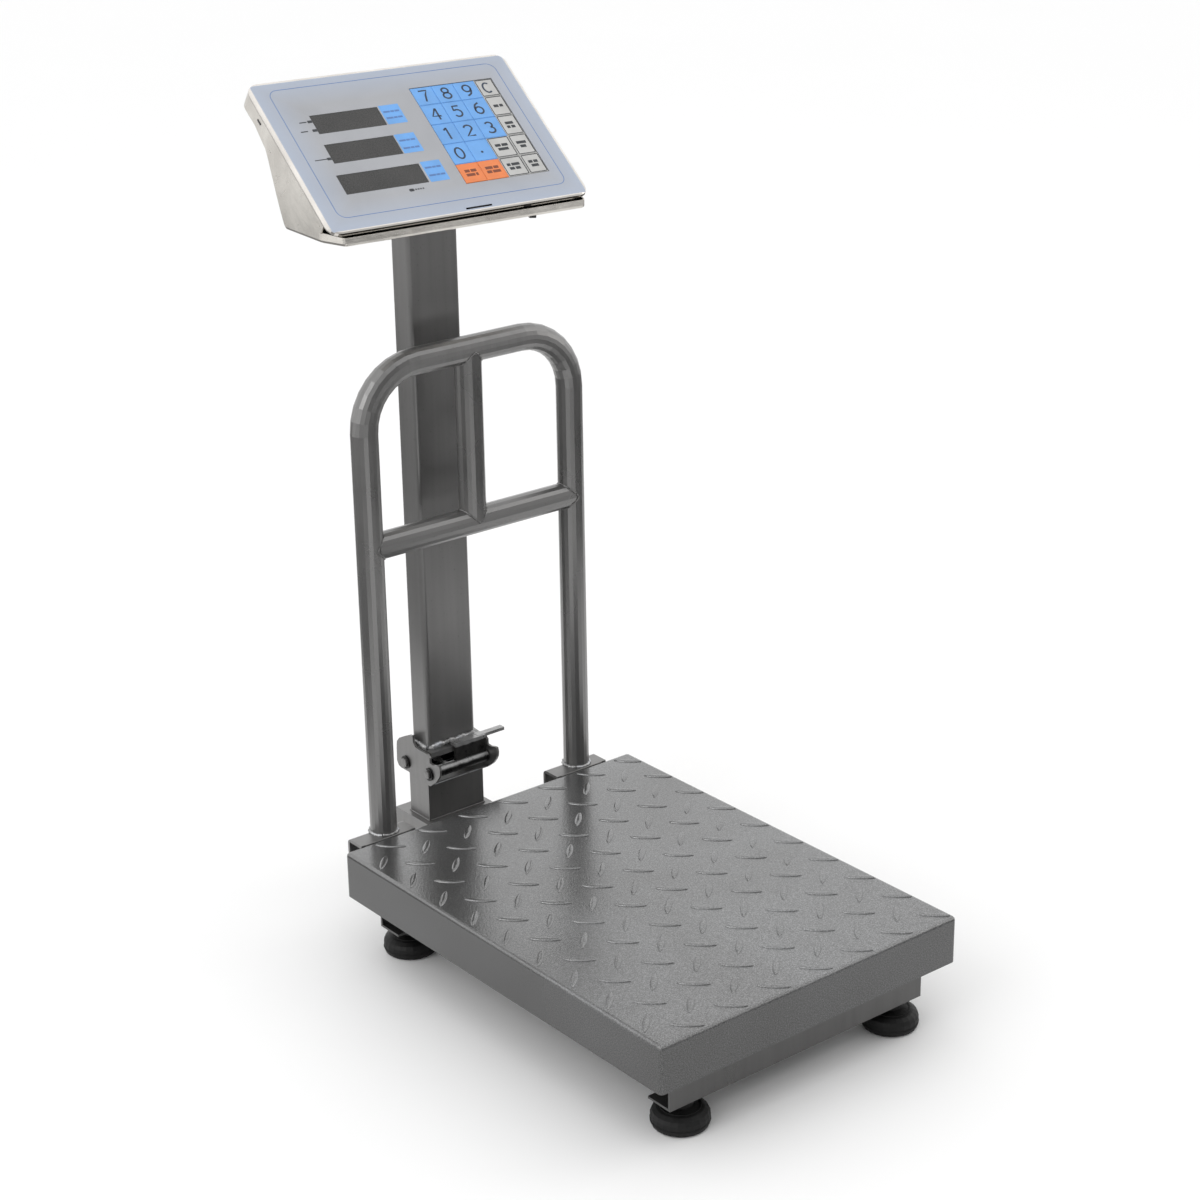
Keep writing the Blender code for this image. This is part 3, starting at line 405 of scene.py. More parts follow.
MATERIAL_OF_SLOT = {
    "grey_steel": FRAME_STEEL,
    "tread_plate": TREAD_STEEL,
    "dark_steel": FRAME_STEEL,
    "bright_steel": PIN_STEEL,
    "stainless": STAINLESS,
    "aluminium": plain_metal("milled_aluminium", (0.62, 0.63, 0.65), 0.38),
    "black_rubber": RUBBER,
    "face_print": FACE_FILM,
    "window_glass": GLASS,
    "blue_key": BLUE,
    "orange_key": ORANGE,
    "grey_key": GREY_KEY,
    "circuit_board": board(),
    "battery_case": CASE_PLASTIC,
    "black_plastic": BLACK_PLASTIC_AND_SHADE,
}
MATERIAL_OF_NODE = {
    "front_crossmember": BASE_STEEL,
    "rear_crossmember": BASE_STEEL,
    "column_tube": COLUMN_STEEL,
    "rail_hoop": RAIL_STEEL,
    "rail_stile": RAIL_STEEL,
    "rail_crossbar": BAR_STEEL,
    "latch_pawl": LATCH_STEEL,
    "latch_rod": FRAME_STEEL,
    "hinge_pin": FRAME_STEEL,
    "latch_spring": FRAME_STEEL,
}
SLOT_OF_NODE = {entry["node"]: entry["material_slot"] for entry in frame["record"]["subparts"]}

for node_name, node_object in frame["nodes"].items():
    material = MATERIAL_OF_NODE.get(node_name, MATERIAL_OF_SLOT[SLOT_OF_NODE[node_name]])
    if not node_object.material_slots:
        node_object.data.materials.append(material)
    node_object.material_slots[0].material = material

# ------------------------------------------------------------------ building


def add_piece(name, shape, body, material, smooth_angle=35):
    """Makes an object of a bmesh that is in world coordinates, and rides it on a body."""
    mesh = bpy.data.meshes.new(name)
    bmesh.ops.recalc_face_normals(shape, faces=shape.faces[:])
    shape.to_mesh(mesh)
    shape.free()
    obj = bpy.data.objects.new(name, mesh)
    bpy.context.scene.collection.objects.link(obj)
    mesh.materials.append(material)
    mesh.shade_smooth()
    mesh.set_sharp_from_angle(angle=math.radians(smooth_angle))
    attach(obj, body)
    return obj


def skin(shape, rings, closed=False):
    """Joins each ring of points to the next with faces. Both ends are capped unless the last joins the first."""
    for first, second in zip(rings, rings[1:] + rings[:1] if closed else rings[1:]):
        for index in range(len(first)):
            following = (index + 1) % len(first)
            shape.faces.new((first[index], first[following], second[following], second[index]))
    if not closed:
        shape.faces.new(rings[0][::-1])
        shape.faces.new(rings[-1])


def add_prism(shape, outline, low, high, matrix):
    """A closed prism over a flat outline, from `low` to `high` along the matrix's own Z."""
    rings = [[shape.verts.new(matrix @ Vector((x, y, z))) for x, y in outline] for z in (low, high)]
    skin(shape, rings)


def ellipse(centre, half_width, half_height, start, end, steps):
    """Points on an ellipse from one angle to another, in degrees."""
    x, y = centre
    angles = [math.radians(start + (end - start) * step / steps) for step in range(steps + 1)]
    return [(x + half_width * math.cos(angle), y + half_height * math.sin(angle)) for angle in angles]


def arc(centre, radius, start, end, steps):
    return ellipse(centre, radius, radius, start, end, steps)


def circle(radius, centre=(0, 0)):
    """Twenty-four points round a circle."""
    return arc(centre, radius, 0, 345, 23)


def rectangle(left, right, bottom, top):
    return [(left, bottom), (right, bottom), (right, top), (left, top)]


def rounded(left, right, bottom, top, radius, steps=6):
    corners = (
        (right - radius, top - radius, 0),
        (left + radius, top - radius, 90),
        (left + radius, bottom + radius, 180),
        (right - radius, bottom + radius, 270),
    )
    return [point for x, y, start in corners for point in arc((x, y), radius, start, start + 90, steps)]


def add_ring(shape, outer, inner, low, high, matrix):
    """A closed band between two outlines that have the same number of points."""
    rings = [
        [shape.verts.new(matrix @ Vector((x, y, z))) for x, y in outline]
        for outline, z in ((outer, low), (outer, high), (inner, high), (inner, low))
    ]
    skin(shape, rings, closed=True)


def add_bead(shape, points, radius, dice, closed=False, squash=0.8):
    """A rippled weld bead along a path."""
    path = [Vector(point) for point in points]
    rings = []
    count = len(path)
    sides = 8
    for index, point in enumerate(path):
        before = path[index - 1] if index or closed else point
        after = path[(index + 1) % count] if index < count - 1 or closed else point
        along = (after - before).normalized()
        across = along.orthogonal().normalized()
        up = along.cross(across)
        ends = 0.45 if not closed and index in (0, count - 1) else 1.0
        size = radius * ends * (1 + 0.22 * math.cos(index * 2.1) + dice.uniform(-0.16, 0.16))
        centre = point + across * dice.uniform(-0.12, 0.12) * radius
        ring = []
        for side in range(sides):
            angle = 2 * math.pi * side / sides
            offset = across * math.cos(angle) + up * math.sin(angle) * squash
            ring.append(shape.verts.new(centre + offset * size))
        rings.append(ring)
    skin(shape, rings, closed)


def spaced(points, step, closed=False):
    """The same path with points about `step` apart."""
    path = [Vector(point) for point in points]
    if closed:
        path.append(path[0])
    result = []
    for first, second in zip(path, path[1:]):
        parts = max(1, round((second - first).length / step))
        result += [first.lerp(second, part / parts) for part in range(parts)]
    if not closed:
        result.append(path[-1])
    return result


def weld(name, points, radius, body, closed=False, seed=1, material=WELD_AND_HIGHLIGHT):
    shape = bmesh.new()
    add_bead(shape, spaced(points, 0.0012, closed), radius, random.Random(seed), closed)
    return add_piece(name, shape, body, material, smooth_angle=80)


def add_stroke(shape, points, width, low, high, matrix, closed=False):
    """A flat band of even width that follows a path, made of one block after another."""
    path = [Vector(point) for point in points]
    count = len(path)
    rings = []
    for index, point in enumerate(path):
        before = path[index - 1] if index or closed else point
        after = path[(index + 1) % count] if index < count - 1 or closed else point
        along = (after - before).normalized()
        side = Vector((-along.y, along.x)) * width / 2
        corners = ((point + side, low), (point - side, low), (point - side, high), (point + side, high))
        rings.append([shape.verts.new(matrix @ Vector((corner.x, corner.y, z))) for corner, z in corners])
    skin(shape, rings, closed)


# ------------------------------------------------------------------ platform

LUG_PITCH = (0.0423, 0.0415)
LUG_LENGTH, LUG_WIDTH = 0.026, 0.0058
LUG_FIRST = (0.012, -0.1463)
LUG_ANGLE = math.radians(45)
TREAD_X, TREAD_Y = 0.1465, 0.1965
RAIL_FOOT_FRONT = 0.2004


def add_lug(shape, x, y, angle):
    """A raised lens with rounded shoulders, its skirt just below the plate's surface."""
    turn = Matrix.Rotation(angle, 3, "Z")
    rows = ((1.0, -0.0002), (0.93, 0.00035), (0.78, 0.00075), (0.50, 0.00097))
    points = 20
    rings = []
    for scale, height in rows:
        ring = []
        for index in range(points):
            along = 2 * math.pi * index / points
            reach = math.cos(along) * LUG_LENGTH / 2 * (1 - (1 - scale) * 0.35)
            wide = math.sin(along) * abs(math.sin(along)) ** 0.35 * LUG_WIDTH / 2 * scale
            ring.append(shape.verts.new(at(x, y, PAN_TOP + height) + turn @ Vector((reach, wide, 0))))
        rings.append(ring)
    skin(shape, rings)


def make_tread():
    """Lugs in two crossed rows, cut off at the plate's edges."""
    shape = bmesh.new()
    margin = 0.003
    for column in range(-5, 5):
        for row in range(-3, 10):
            for half, angle in ((0, -LUG_ANGLE), (0.5, LUG_ANGLE)):
                x = LUG_FIRST[0] + (column + half) * LUG_PITCH[0]
                y = LUG_FIRST[1] + (row + half) * LUG_PITCH[1]
                if abs(x) < TREAD_X - margin and abs(y) < TREAD_Y - margin:
                    add_lug(shape, x, y, angle)
    for side in ((TREAD_X, 0, 0), (-TREAD_X, 0, 0), (0, TREAD_Y, 0), (0, -TREAD_Y, 0)):
        everything = shape.verts[:] + shape.edges[:] + shape.faces[:]
        cut = bmesh.ops.bisect_plane(
            shape, geom=everything, plane_co=at(*side), plane_no=Vector(side).normalized(), clear_outer=True
        )
        edges = [item for item in cut["geom_cut"] if isinstance(item, bmesh.types.BMEdge)]
        bmesh.ops.holes_fill(shape, edges=edges, sides=0)
    add_piece("tread_lugs", shape, "platform", TREAD_STEEL, smooth_angle=50)


def post_circle(x, z, radius):
    """Points round a post of the rail."""
    return [at(px, py, z) for px, py in arc((x, RAIL_Y), radius, 0, 342, 19)]


def saddle(x, z, along_x, towards):
    """The line where a bar meets the side of another tube of the same size, just outside both."""
    radius = RAIL_RADIUS + 0.0002
    points = []
    for index in range(24):
        angle = 2 * math.pi * index / 24
        across = radius * math.cos(angle)
        depth = math.sqrt(max(0.0, RAIL_RADIUS**2 - across**2)) + 0.0004
        other = radius * math.sin(angle)
        if along_x:
            points.append(at(x + towards * depth, RAIL_Y + across, z + other))
        else:
            points.append(at(x + other, RAIL_Y + across, z + towards * depth))
    return points


def make_rail_welds():
    for side, x in (("left", -RAIL_HALF_WIDTH), ("right", RAIL_HALF_WIDTH)):
        ring = post_circle(x, PAN_TOP + 0.0006, RAIL_RADIUS + 0.0004)
        weld(f"rail_post_weld_{side}", ring, 0.0014, "platform", True, 3)
        inward = 1 if x < 0 else -1
        line = saddle(x, CROSSBAR_Z, True, inward)
        weld(f"crossbar_weld_{side}", line, 0.0007, "platform", True, 5, RAIL_STEEL)
    weld("stile_weld_low", saddle(0, CROSSBAR_Z, False, 1), 0.0007, "platform", True, 7, RAIL_STEEL)
    weld("stile_weld_high", saddle(0, RAIL_TOP_LINE, False, -1), 0.0007, "platform", True, 9, RAIL_STEEL)
    for side, left, right in (("left", -0.1298, -0.0842), ("right", 0.0752, 0.1208)):
        points = [at(x, RAIL_FOOT_FRONT - 0.0002, PAN_TOP - 0.0004) for x in (left, right)]
        weld(f"rail_foot_weld_{side}", points, 0.0006, "platform", False, 11, FRAME_STEEL)


# ------------------------------------------------------------------ column foot and latch

CLIP_X, CLIP_RADIUS, CLIP_HALF_THICKNESS = 0.0325, 0.0058, 0.0004
PIN_END_X = 0.0345
SOCKET_EDGE = (-0.0294, 0.0294, 0.2519, 0.2811)


def make_column_weld():
    """A heavy, uneven bead where the column stands on its shoe, and a second run along its front."""
    half_x, half_y = 0.0255, 0.0130
    outline = rounded(-half_x, half_x, -half_y, half_y, 0.004, 4)
    path = [at(x, COLUMN_Y + y, COLUMN_FOOT + 0.0008) for x, y in outline]
    weld("column_weld", path, 0.0021, "column", True, 21)
    front = COLUMN_Y - half_y - 0.0006
    low, wave = COLUMN_FOOT + 0.0018, 0.0007
    run = [at(-0.022 + 0.004 * step, front, low + wave * (step % 3)) for step in range(12)]
    weld("column_weld_front", run, 0.0022, "column", False, 23)


def add_clip(shape, x, centre, radius, opening):
    """A retaining clip: a flat ring round a pin, facing along X, with a gap at the angle `opening`."""
    start, end = opening + 35, opening + 325
    outer = arc((0, 0), CLIP_RADIUS, start, end, 16)
    inner = arc((0, 0), radius + 0.0002, end, start, 16)
    turn = Matrix.Translation(at(x, *centre)) @ Matrix.Rotation(math.pi / 2, 4, "Y")
    add_prism(shape, outer + inner, -CLIP_HALF_THICKNESS, CLIP_HALF_THICKNESS, turn)


def make_clips():
    shape = bmesh.new()
    for x in (-CLIP_X, CLIP_X):
        add_clip(shape, x, HINGE_PIN, 0.0040, 70 if x < 0 else 110)
        add_clip(shape, x, LATCH_ROD, 0.0035, 110 if x < 0 else 70)
    add_piece("retaining_clips", shape, "base", BLACK_STEEL_AND_SHADE)


def add_dome(shape, centre, radius, height, axis):
    """A low turned dome on the end of a pin, its rim rounded."""
    turn = Vector((0, 0, 1)).rotation_difference(Vector(axis)).to_matrix()
    rows = ((1.0, 0.0), (0.97, 0.45), (0.80, 0.85), (0.45, 1.0))
    rings = []
    for scale, lift in rows:
        outline = arc((0, 0), radius * scale, 0, 342, 19)
        rings.append([shape.verts.new(centre + turn @ Vector((x, y, height * lift))) for x, y in outline])
    skin(shape, rings)


def make_pin_ends():
    shape = bmesh.new()
    for side in (-1, 1):
        for centre, radius in ((HINGE_PIN, 0.0036), (LATCH_ROD, 0.0031)):
            add_dome(shape, at(side * PIN_END_X, *centre), radius, 0.0005, (side, 0, 0))
    add_piece("pin_ends", shape, "base", FRAME_STEEL)


def make_bracket_welds():
    """Socket to bracket, a bright bead along the web's edge as a painted highlight, bracket to the rear
    crossmember, and a black bead under each cheek as a painted shadow line.
    """
    corners = [at(x, y, 0.0630) for x, y in rectangle(*SOCKET_EDGE)]
    weld("socket_weld", corners, 0.0006, "base", True, 31, FRAME_STEEL)
    # Painted highlight: a thin bright bead along the web's front edge
    highlight_line = [at(-0.0285, 0.2458, 0.0992), at(0.0285, 0.2458, 0.0992)]
    weld("web_edge_highlight", highlight_line, 0.0004, "base", False, 37)
    for side in (-1, 1):
        name = "left" if side < 0 else "right"
        upright = [at(side * 0.0354, 0.1856, 0.026), at(side * 0.0354, 0.1856, 0.048)]
        weld(f"bracket_weld_{name}", upright, 0.0011, "base", False, 33, FRAME_STEEL)
        # Painted shadow: a thin black bead under each cheek's lower edge stands for the shade in the gap
        shadow_line = [at(side * 0.0296, 0.2530, 0.0980), at(side * 0.0296, 0.2730, 0.0980)]
        weld(f"cheek_shade_line_{name}", shadow_line, 0.0006, "base", False, 35, BLACK_STEEL_AND_SHADE)


# ------------------------------------------------------------------ base

STUD_NUT_Z = (0.0252, 0.0315)
STUD_NUT_RADIUS, STUD_NUT_BORE = 0.0075, 0.0044
BOLT_X, BOLT_ACROSS = 0.012, 0.010
# Name, rows in Y, bottom and top of the heads, and which way the turn changes from bolt to bolt
CELL_BOLTS = (
    ("cell_bolts_lower", (0.052, 0.068), 0.0222, 0.0260, 1),
    ("cell_bolts_upper", (-0.068, -0.052), 0.0726, 0.0765, -1),
)
# Outer and inner radius, bottom and top of the ribs on a rubber foot: at its skirt and on its shoulder
FOOT_RIBS = ((0.0228, 0.0221, 0.0040, 0.0052), (0.0158, 0.0146, 0.0150, 0.0160))


def hexagon(radius, turn):
    return arc((0, 0), radius, turn, turn + 300, 5)


def add_hex(shape, x, y, across, low, high, turn):
    """A hexagon head with both its edges chamfered."""
    radius = across / math.sqrt(3)
    place = Matrix.Translation(at(x, y, 0))
    chamfer = min(0.0006, (high - low) * 0.3)
    rows = ((radius * 0.94, low), (radius, low + chamfer), (radius, high - chamfer), (radius * 0.94, high))
    rings = [[shape.verts.new(place @ Vector((px, py, z))) for px, py in hexagon(r, turn)] for r, z in rows]
    skin(shape, rings)


def make_socket_strip():
    """A stiffening strip with rounded ends across the back of the socket's mouth, under the hinge pin."""
    shape = bmesh.new()
    turn = Matrix.Translation(at(0, 0.2823, 0)) @ Matrix.Rotation(math.pi / 2, 4, "X")
    add_prism(shape, rounded(-0.0252, 0.0252, 0.0930, 0.1046, 0.0020), 0.0, 0.0014, turn)
    add_piece("socket_back_strip", shape, "base", BLACK_STEEL_AND_SHADE)


def make_stud_nuts():
    """A hexagon nut with a round bore on the stud of each foot."""
    shape = bmesh.new()
    corners = [Vector(corner) for corner in hexagon(STUD_NUT_RADIUS, 15)]
    outer = [corners[k // 4].lerp(corners[(k // 4 + 1) % 6], k % 4 / 4) for k in range(24)]
    inner = arc((0, 0), STUD_NUT_BORE, 15, 360, 23)
    for x in (-FOOT_X, FOOT_X):
        for y in (-FOOT_Y, FOOT_Y):
            add_ring(shape, outer, inner, *STUD_NUT_Z, Matrix.Translation(at(x, y, 0)))
    add_piece("stud_nuts", shape, "base", PIN_STEEL)


def make_cell_bolts():
    """Four bolts under the load cell's fixed end and four on its free end, each turned differently."""
    for name, rows, low, high, way in CELL_BOLTS:
        shape = bmesh.new()
        for x in (-BOLT_X, BOLT_X):
            for y in rows:
                add_hex(shape, x, y, BOLT_ACROSS, low, high, 8000 * (x + way * y))
        add_piece(name, shape, "base", PIN_STEEL)


def make_base_welds():
    """Short beads where the side members meet the crossmembers."""
    half_length = 0.0090
    for side, x in (("left", -0.070), ("right", 0.070)):
        for end, y in (("front", -0.1597), ("rear", 0.1597)):
            points = [at(x - half_length, y, 0.0620), at(x + half_length, y, 0.0620)]
            weld(f"base_weld_{end}_{side}", points, 0.0011, "base", False, 41)


def make_foot_details():
    """Two moulded ribs round each rubber foot."""
    for row, y in (("front", -FOOT_Y), ("rear", FOOT_Y)):
        for side, x in (("left", -FOOT_X), ("right", FOOT_X)):
            shape = bmesh.new()
            place = Matrix.Translation(at(x, y, 0))
            for outer, inner, low, high in FOOT_RIBS:
                add_ring(shape, circle(outer), circle(inner), low, high, place)
            add_piece(f"foot_rib_{row}_{side}", shape, f"foot_{row}_{side}", RUBBER)


# ------------------------------------------------------------------ face

INK_LOW, INK_HIGH = -0.00002, 0.00006
OUTLINE_BOX = (-0.1044, 0.1044, -0.0660, 0.0707)
# The blue patch beside each window: its box, and the heights of the bars that stand for its words
WINDOW_PATCHES = (
    ((-0.0190, -0.0010, 0.0203, 0.0406), (0.0268, 0.0335)),
    ((-0.0200, -0.0020, -0.0114, 0.0090), (-0.0062, 0.0020)),
    ((-0.0120, 0.0055, -0.0438, -0.0223), (-0.0372, -0.0290)),
)
KEY_CENTRES_U = (0.0268, 0.0468, 0.0670, 0.0859)
KEY_CENTRES_V = (0.04465, 0.0242, 0.0026, -0.0192, -0.0405)
KEY_U = (0.0168, 0.0368, 0.0568, 0.0772, 0.0946)
KEY_V = (0.0543, 0.0350, 0.0134, -0.0082, -0.0302, -0.0508)
STROKE = 0.0016
BAR_HALF_HEIGHT, BAR_GAP, BAR_PITCH = 0.0014, 0.0010, 0.0042
# Key, column, row and the lengths of the bars in each line of its label
BAR_LABELS = (
    ("f1", 3, 1, ((0.0045, 0.0033),)),
    ("f2", 3, 2, ((0.0075,), (0.0030, 0.0036))),
    ("f3", 3, 3, ((0.0090,), (0.0054,))),
    ("f4", 3, 4, ((0.0039, 0.0039), (0.0066,))),
    ("f5", 2, 3, ((0.0051, 0.0057), (0.0096,))),
    ("f6", 2, 4, ((0.0033, 0.0075), (0.0045, 0.0045))),
    ("zero_set", 0, 4, ((0.0045, 0.0051), (0.0078, 0.0021))),
    ("tare", 1, 4, ((0.0066, 0.0045), (0.0045, 0.0072))),
)
OUTLINED_KEYS = {
    "key_clear": (3, 0),
    "key_f1": (3, 1),
    "key_f2": (3, 2),
    "key_f3": (3, 3),
    "key_f4": (3, 4),
    "key_f5": (2, 3),
    "key_f6": (2, 4),
}


def ink(name, outlines, material, body="column", low=INK_LOW, high=INK_HIGH):
    """A layer of print on the face, one closed flake for each outline."""
    shape = bmesh.new()
    for outline in outlines:
        add_prism(shape, outline, low, high, FACE)
    return add_piece(name, shape, body, material)


def add_outline(name, box, radius, line, body, material, steps=6):
    """A printed line of even width round a box with rounded corners."""
    left, right, bottom, top = box
    shape = bmesh.new()
    outer = rounded(left, right, bottom, top, radius, steps)
    inner = rounded(left + line, right - line, bottom + line, top - line, radius - line, steps)
    add_ring(shape, outer, inner, INK_LOW, INK_HIGH, FACE)
    add_piece(name, shape, body, material)


def make_face_print():
    add_outline("face_outline", OUTLINE_BOX, 0.008, 0.0005, "column", BLUE_INK)

    patches, bars = [], []
    for (left, right, bottom, top), levels in WINDOW_PATCHES:
        patches.append(rounded(left, right, bottom, top, 0.0006, 3))
        for level in levels:
            start = left + 0.0016
            for length in (0.0060, 0.0032, 0.0040):
                bars.append(rectangle(start, start + length, level - 0.0009, level + 0.0009))
                start += length + 0.0006
    ink("window_patches", patches, BLUE)
    ink("window_patch_bars", bars, BLUE_INK, low=INK_HIGH - 0.00002, high=INK_HIGH + 0.00005)

    # Pointers, arrows and small signs between the windows
    marks = []
    for v, tail in ((0.0340, 0.0925), (0.0245, 0.0955)):
        marks.append(rectangle(-tail, -tail + 0.0062, v - 0.0005, v + 0.0005))
        marks.append(rectangle(-0.0853, -0.0813, v - 0.0013, v + 0.0013))
    marks.append(rectangle(-0.0975, -0.0865, -0.0062, -0.0054))
    marks.append(rectangle(-0.0868, -0.0831, -0.0072, -0.0046))
    marks.append(rounded(-0.0345, -0.0300, -0.0502, -0.0474, 0.0012, 4))
    marks += [rectangle(-0.0290 + 0.0022 * k, -0.0277 + 0.0022 * k, -0.0494, -0.0480) for k in range(4)]
    ink("window_marks", marks, DARK_INK)
    lens = arc((0.0156, -0.1240), 0.0491, 76, 104, 10) + arc((0.0156, -0.0270), 0.0491, 256, 284, 10)
    ink("lower_slot_mark", [lens], DARK_INK)


def make_band_slot():
    """A dark flake on the left side of the band: painted shade standing for the small slot there."""
    shape = bmesh.new()
    turn = FACE @ Matrix.Translation((-0.1191, 0.0480, -0.0085)) @ Matrix.Rotation(-math.pi / 2, 4, "Y")
    add_prism(shape, rounded(-0.0009, 0.0009, -0.0030, 0.0030, 0.0008, 4), -0.00005, 0.00018, turn)
    # Painted shade: a thin black flake stands for the dark inside of the slot
    add_piece("band_slot_shade", shape, "column", BLACK_PLASTIC_AND_SHADE)


def numeral_paths():
    """The lines of each generic numeral, and whether each one closes on itself."""
    tail = [(-0.0035, -0.0021), (-0.0031, 0.0010), (-0.0018, 0.0037), (0.0003, 0.0052), (0.0020, 0.0058)]
    bowl = ellipse((0, -0.0021), 0.0035, 0.0036, 0, 345, 23)
    three = ellipse((-0.0003, 0.0029), 0.0031, 0.0028, 150, -80, 12)
    three += ellipse((-0.0003, -0.0026), 0.0036, 0.0031, 78, -150, 14)
    five = [(0.0031, 0.0057), (-0.0023, 0.0057), (-0.0028, 0.0008)]
    five += ellipse((-0.0001, -0.0020), 0.0036, 0.0037, 118, -148, 16)
    two = ellipse((0, 0.0026), 0.0035, 0.0031, 165, -25, 12) + [(-0.0036, -0.0057), (0.0038, -0.0057)]
    return {
        "0": [(ellipse((0, 0), 0.0036, 0.0057, 0, 348, 29), True)],
        "1": [
            ([(-0.0020, 0.0037), (0.0005, 0.0056)], False),
            ([(0.0007, 0.0062), (0.0007, -0.0062)], False),
        ],
        "2": [(two, False)],
        "3": [(three, False)],
        "4": [
            ([(0.0016, -0.0062), (0.0016, 0.0062)], False),
            ([(0.0012, 0.0058), (-0.0037, -0.0020), (0.0040, -0.0024)], False),
        ],
        "5": [(five, False)],
        "6": [(bowl, True), (tail, False)],
        "7": [([(-0.0037, 0.0057), (0.0036, 0.0057), (0.0010, 0.0010), (-0.0010, -0.0060)], False)],
        "8": [
            (ellipse((0, 0.0030), 0.0029, 0.0027, 0, 345, 23), True),
            (ellipse((0, -0.0026), 0.0035, 0.0031, 0, 345, 23), True),
        ],
        "9": [([(-x, -y) for x, y in bowl], True), ([(-x, -y) for x, y in tail], False)],
    }


def make_digit(text, paths, u, v):
    """A numeral as thin flakes of ink on its key."""
    shape = bmesh.new()
    for points, closed in paths:
        placed = [(u + x, v + y) for x, y in points]
        add_stroke(shape, placed, STROKE, INK_LOW, INK_HIGH, FACE, closed)
    key = f"key_{text}"
    add_piece(f"mark_{text}", shape, key, NAVY_INK)


def make_bar_label(name, column, row, lines):
    """A key's label as lines of plain bars."""
    key = f"key_{name}"
    slot = SLOT_OF_NODE[key]
    flakes = []
    for line, lengths in enumerate(lines):
        level = KEY_CENTRES_V[row] + (len(lines) - 1) * BAR_PITCH / 2 - line * BAR_PITCH
        start = KEY_CENTRES_U[column] - (sum(lengths) + BAR_GAP * (len(lengths) - 1)) / 2
        for length in lengths:
            low, high = level - BAR_HALF_HEIGHT, level + BAR_HALF_HEIGHT
            flakes.append(rectangle(start, start + length, low, high))
            start += length + BAR_GAP
    ink(f"mark_{name}", flakes, BROWN_INK if slot == "orange_key" else DARK_INK, key)


def make_key_marks():
    numerals = numeral_paths()
    for row, texts in enumerate(("789", "456", "123", "0")):
        for column, text in enumerate(texts):
            make_digit(text, numerals[text], KEY_CENTRES_U[column], KEY_CENTRES_V[row])
    dot = circle(0.0011, (KEY_CENTRES_U[1], KEY_CENTRES_V[3] - 0.002))
    ink("mark_point", [dot], NAVY_INK, "key_point")

    shape = bmesh.new()
    open_ring = ellipse((KEY_CENTRES_U[3], KEY_CENTRES_V[0]), 0.0036, 0.0052, 50, 310, 18)
    add_stroke(shape, open_ring, STROKE, INK_LOW, INK_HIGH, FACE)
    add_piece("mark_clear", shape, "key_clear", NAVY_INK)

    for label in BAR_LABELS:
        make_bar_label(*label)

    inset = 0.0007
    for key, (column, row) in OUTLINED_KEYS.items():
        left, right = KEY_U[column] + inset, KEY_U[column + 1] - inset
        box = (left, right, KEY_V[row + 1] + inset, KEY_V[row] - inset)
        add_outline(f"outline_{key}", box, 0.0010, 0.0007, key, DARK_INK, steps=3)


def make_key_webs():
    """The film between the keys: narrow webs that stay put while the keys move past them."""
    groups = {
        "blue": (BLUE, "blue_key", []),
        "grey": (GREY_KEY, "grey_key", []),
        "orange": (ORANGE, "orange_key", []),
    }

    def colour_of(column, row):
        if row == 4 and column < 2:
            return "orange"
        if column == 3 or (row >= 3 and column == 2):
            return "grey"
        return "blue"

    half, overlap, gap = 0.00013, 0.00012, 0.0001
    for column in range(1, 4):
        for row in range(5):
            u = KEY_U[column]
            web = rectangle(u - half, u + half, KEY_V[row + 1] - overlap, KEY_V[row] + overlap)
            groups[colour_of(column - 1, row)][2].append(web)
    for row in range(1, 5):
        for column in range(4):
            left, right = KEY_U[column] + half + gap, KEY_U[column + 1] - half - gap
            web = rectangle(left, right, KEY_V[row] - half, KEY_V[row] + half)
            groups[colour_of(column, row - 1)][2].append(web)
    for name, (material, slot, webs) in groups.items():
        ink(f"key_web_{name}", webs, material, low=-0.0030, high=-0.0002)


# ------------------------------------------------------------------ stage


def add_card(name, place, turn, tone):
    """A card on the floor beside the picture that shows only in the metal's reflections."""
    bpy.ops.mesh.primitive_plane_add(size=2, location=place, rotation=(0, 0, math.radians(turn)))
    card = bpy.context.object
    card.name = name
    card.scale = (0.80, 2.2, 1)
    card.visible_camera = card.visible_diffuse = card.visible_shadow = False
    n = Nodes(name + "_cloth")
    cloth = n.noise(300, detail=2)
    colour = n.blend(cloth, grey(tone * 0.8), grey(tone * 1.2))
    card.data.materials.append(n.finish(colour, 0.9, None, 0.0))


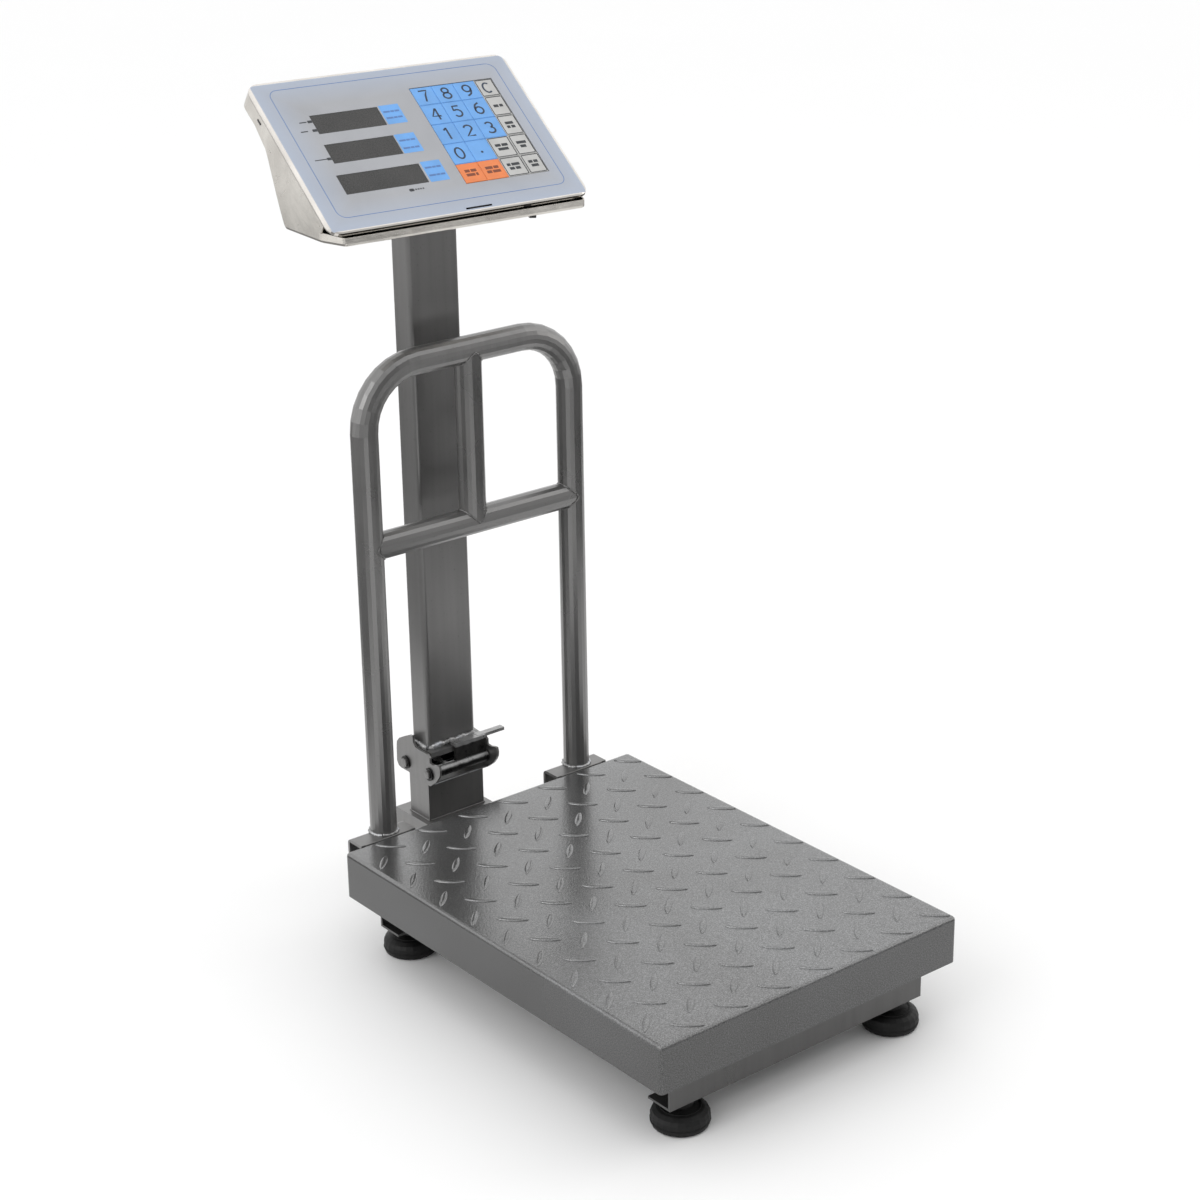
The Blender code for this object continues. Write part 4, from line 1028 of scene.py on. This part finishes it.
def make_stage():
    bpy.ops.mesh.primitive_plane_add(size=40, location=(0, 0, -0.0002))
    floor = bpy.context.object
    floor.name = "floor"
    n = Nodes("studio_floor")
    soft = n.noise(1.5, detail=2)
    floor.data.materials.append(n.finish(n.blend(soft, grey(0.885), grey(0.89)), 0.75, None, 0.0))

    add_card("dark_card", (0.95, -1.17, 0.0005), -50.8, 0.03)
    add_card("grey_card", (-1.19, 0.60, 0.0005), -26.4, 0.22)

    world = bpy.data.worlds.new("studio")
    bpy.context.scene.world = world
    world.use_nodes = True
    tree = world.node_tree
    background = tree.nodes["Background"]
    coords = tree.nodes.new("ShaderNodeTexCoord")
    separate = tree.nodes.new("ShaderNodeSeparateXYZ")
    tree.links.new(coords.outputs["Generated"], separate.inputs["Vector"])
    ramp = tree.nodes.new("ShaderNodeValToRGB")
    stops = ((0.0, 1.0), (0.50, 1.10), (0.75, 1.10), (1.0, 1.20))
    while len(ramp.color_ramp.elements) < len(stops):
        ramp.color_ramp.elements.new(0.5)
    for element, (position, value) in zip(ramp.color_ramp.elements, stops):
        element.position = position
        element.color = (value, value, value, 1.0)
    lift = tree.nodes.new("ShaderNodeMapRange")
    lift.inputs["From Min"].default_value = -1.0
    tree.links.new(separate.outputs["Z"], lift.inputs["Value"])
    tree.links.new(lift.outputs["Result"], ramp.inputs["Fac"])
    front = tree.nodes.new("ShaderNodeMapRange")
    for socket, value in (("From Min", -0.35), ("From Max", -0.85), ("To Min", 1.0), ("To Max", 0.25)):
        front.inputs[socket].default_value = value
    tree.links.new(separate.outputs["Y"], front.inputs["Value"])
    shade = tree.nodes.new("ShaderNodeVectorMath")
    shade.operation = "SCALE"
    tree.links.new(ramp.outputs["Color"], shade.inputs[0])
    tree.links.new(front.outputs["Result"], shade.inputs["Scale"])
    tree.links.new(shade.outputs["Vector"], background.inputs["Color"])
    background.inputs["Strength"].default_value = 1.08


def add_light(name, place, target, size, power, colour=(1, 1, 1)):
    data = bpy.data.lights.new(name, "AREA")
    data.shape = "RECTANGLE"
    data.size, data.size_y = size
    data.energy = power
    data.color = colour
    light = bpy.data.objects.new(name, data)
    bpy.context.scene.collection.objects.link(light)
    light.location = place
    light.rotation_mode = "QUATERNION"
    light.rotation_quaternion = (Vector(target) - Vector(place)).to_track_quat("-Z", "Y")


def make_lights():
    add_light("key_light", (-2.4, -0.3, 1.9), (0, 0, 0.3), (1.6, 1.6), 13)
    add_light("left_panel", (-1.15, 1.0, 0.45), (0, 0.2, 0.3), (1.4, 0.9), 0.5, (1.0, 0.98, 0.95))
    add_light("fill_light", (2.2, -0.8, 1.6), (0, 0, 0.3), (1.2, 1.8), 6, (1.0, 0.97, 0.93))


# The camera's azimuth, elevation and roll, its lens and its place, fitted to the photo
CAMERA_ANGLES = (-38.6407, 21.3364, -0.8935)
CAMERA_LENS = 77.37
CAMERA_PLACE = (-1.1671, -1.4115, 1.0504)


def make_camera():
    data = bpy.data.cameras.new("camera")
    data.sensor_width = 36.0
    data.lens = CAMERA_LENS
    camera = bpy.data.objects.new("camera", data)
    bpy.context.scene.collection.objects.link(camera)
    azimuth, elevation, roll = (math.radians(angle) for angle in CAMERA_ANGLES)
    back = Vector((
        math.sin(azimuth) * math.cos(elevation),
        -math.cos(azimuth) * math.cos(elevation),
        math.sin(elevation),
    ))
    right = Vector((math.cos(azimuth), math.sin(azimuth), 0))
    up = back.cross(right)
    turned_right = math.cos(roll) * right + math.sin(roll) * up
    turned_up = -math.sin(roll) * right + math.cos(roll) * up
    turn = Matrix((turned_right, turned_up, back)).transposed().to_4x4()
    camera.matrix_world = Matrix.Translation(at(*CAMERA_PLACE)) @ turn
    bpy.context.scene.camera = camera


make_camera()
make_tread()
make_rail_welds()
make_column_weld()
make_clips()
make_pin_ends()
make_bracket_welds()
make_socket_strip()
make_stud_nuts()
make_cell_bolts()
make_base_welds()
make_foot_details()
make_face_print()
make_band_slot()
make_key_marks()
make_key_webs()
make_stage()
make_lights()
bpy.context.scene.view_settings.view_transform = "Standard"

bpy.context.view_layer.update()
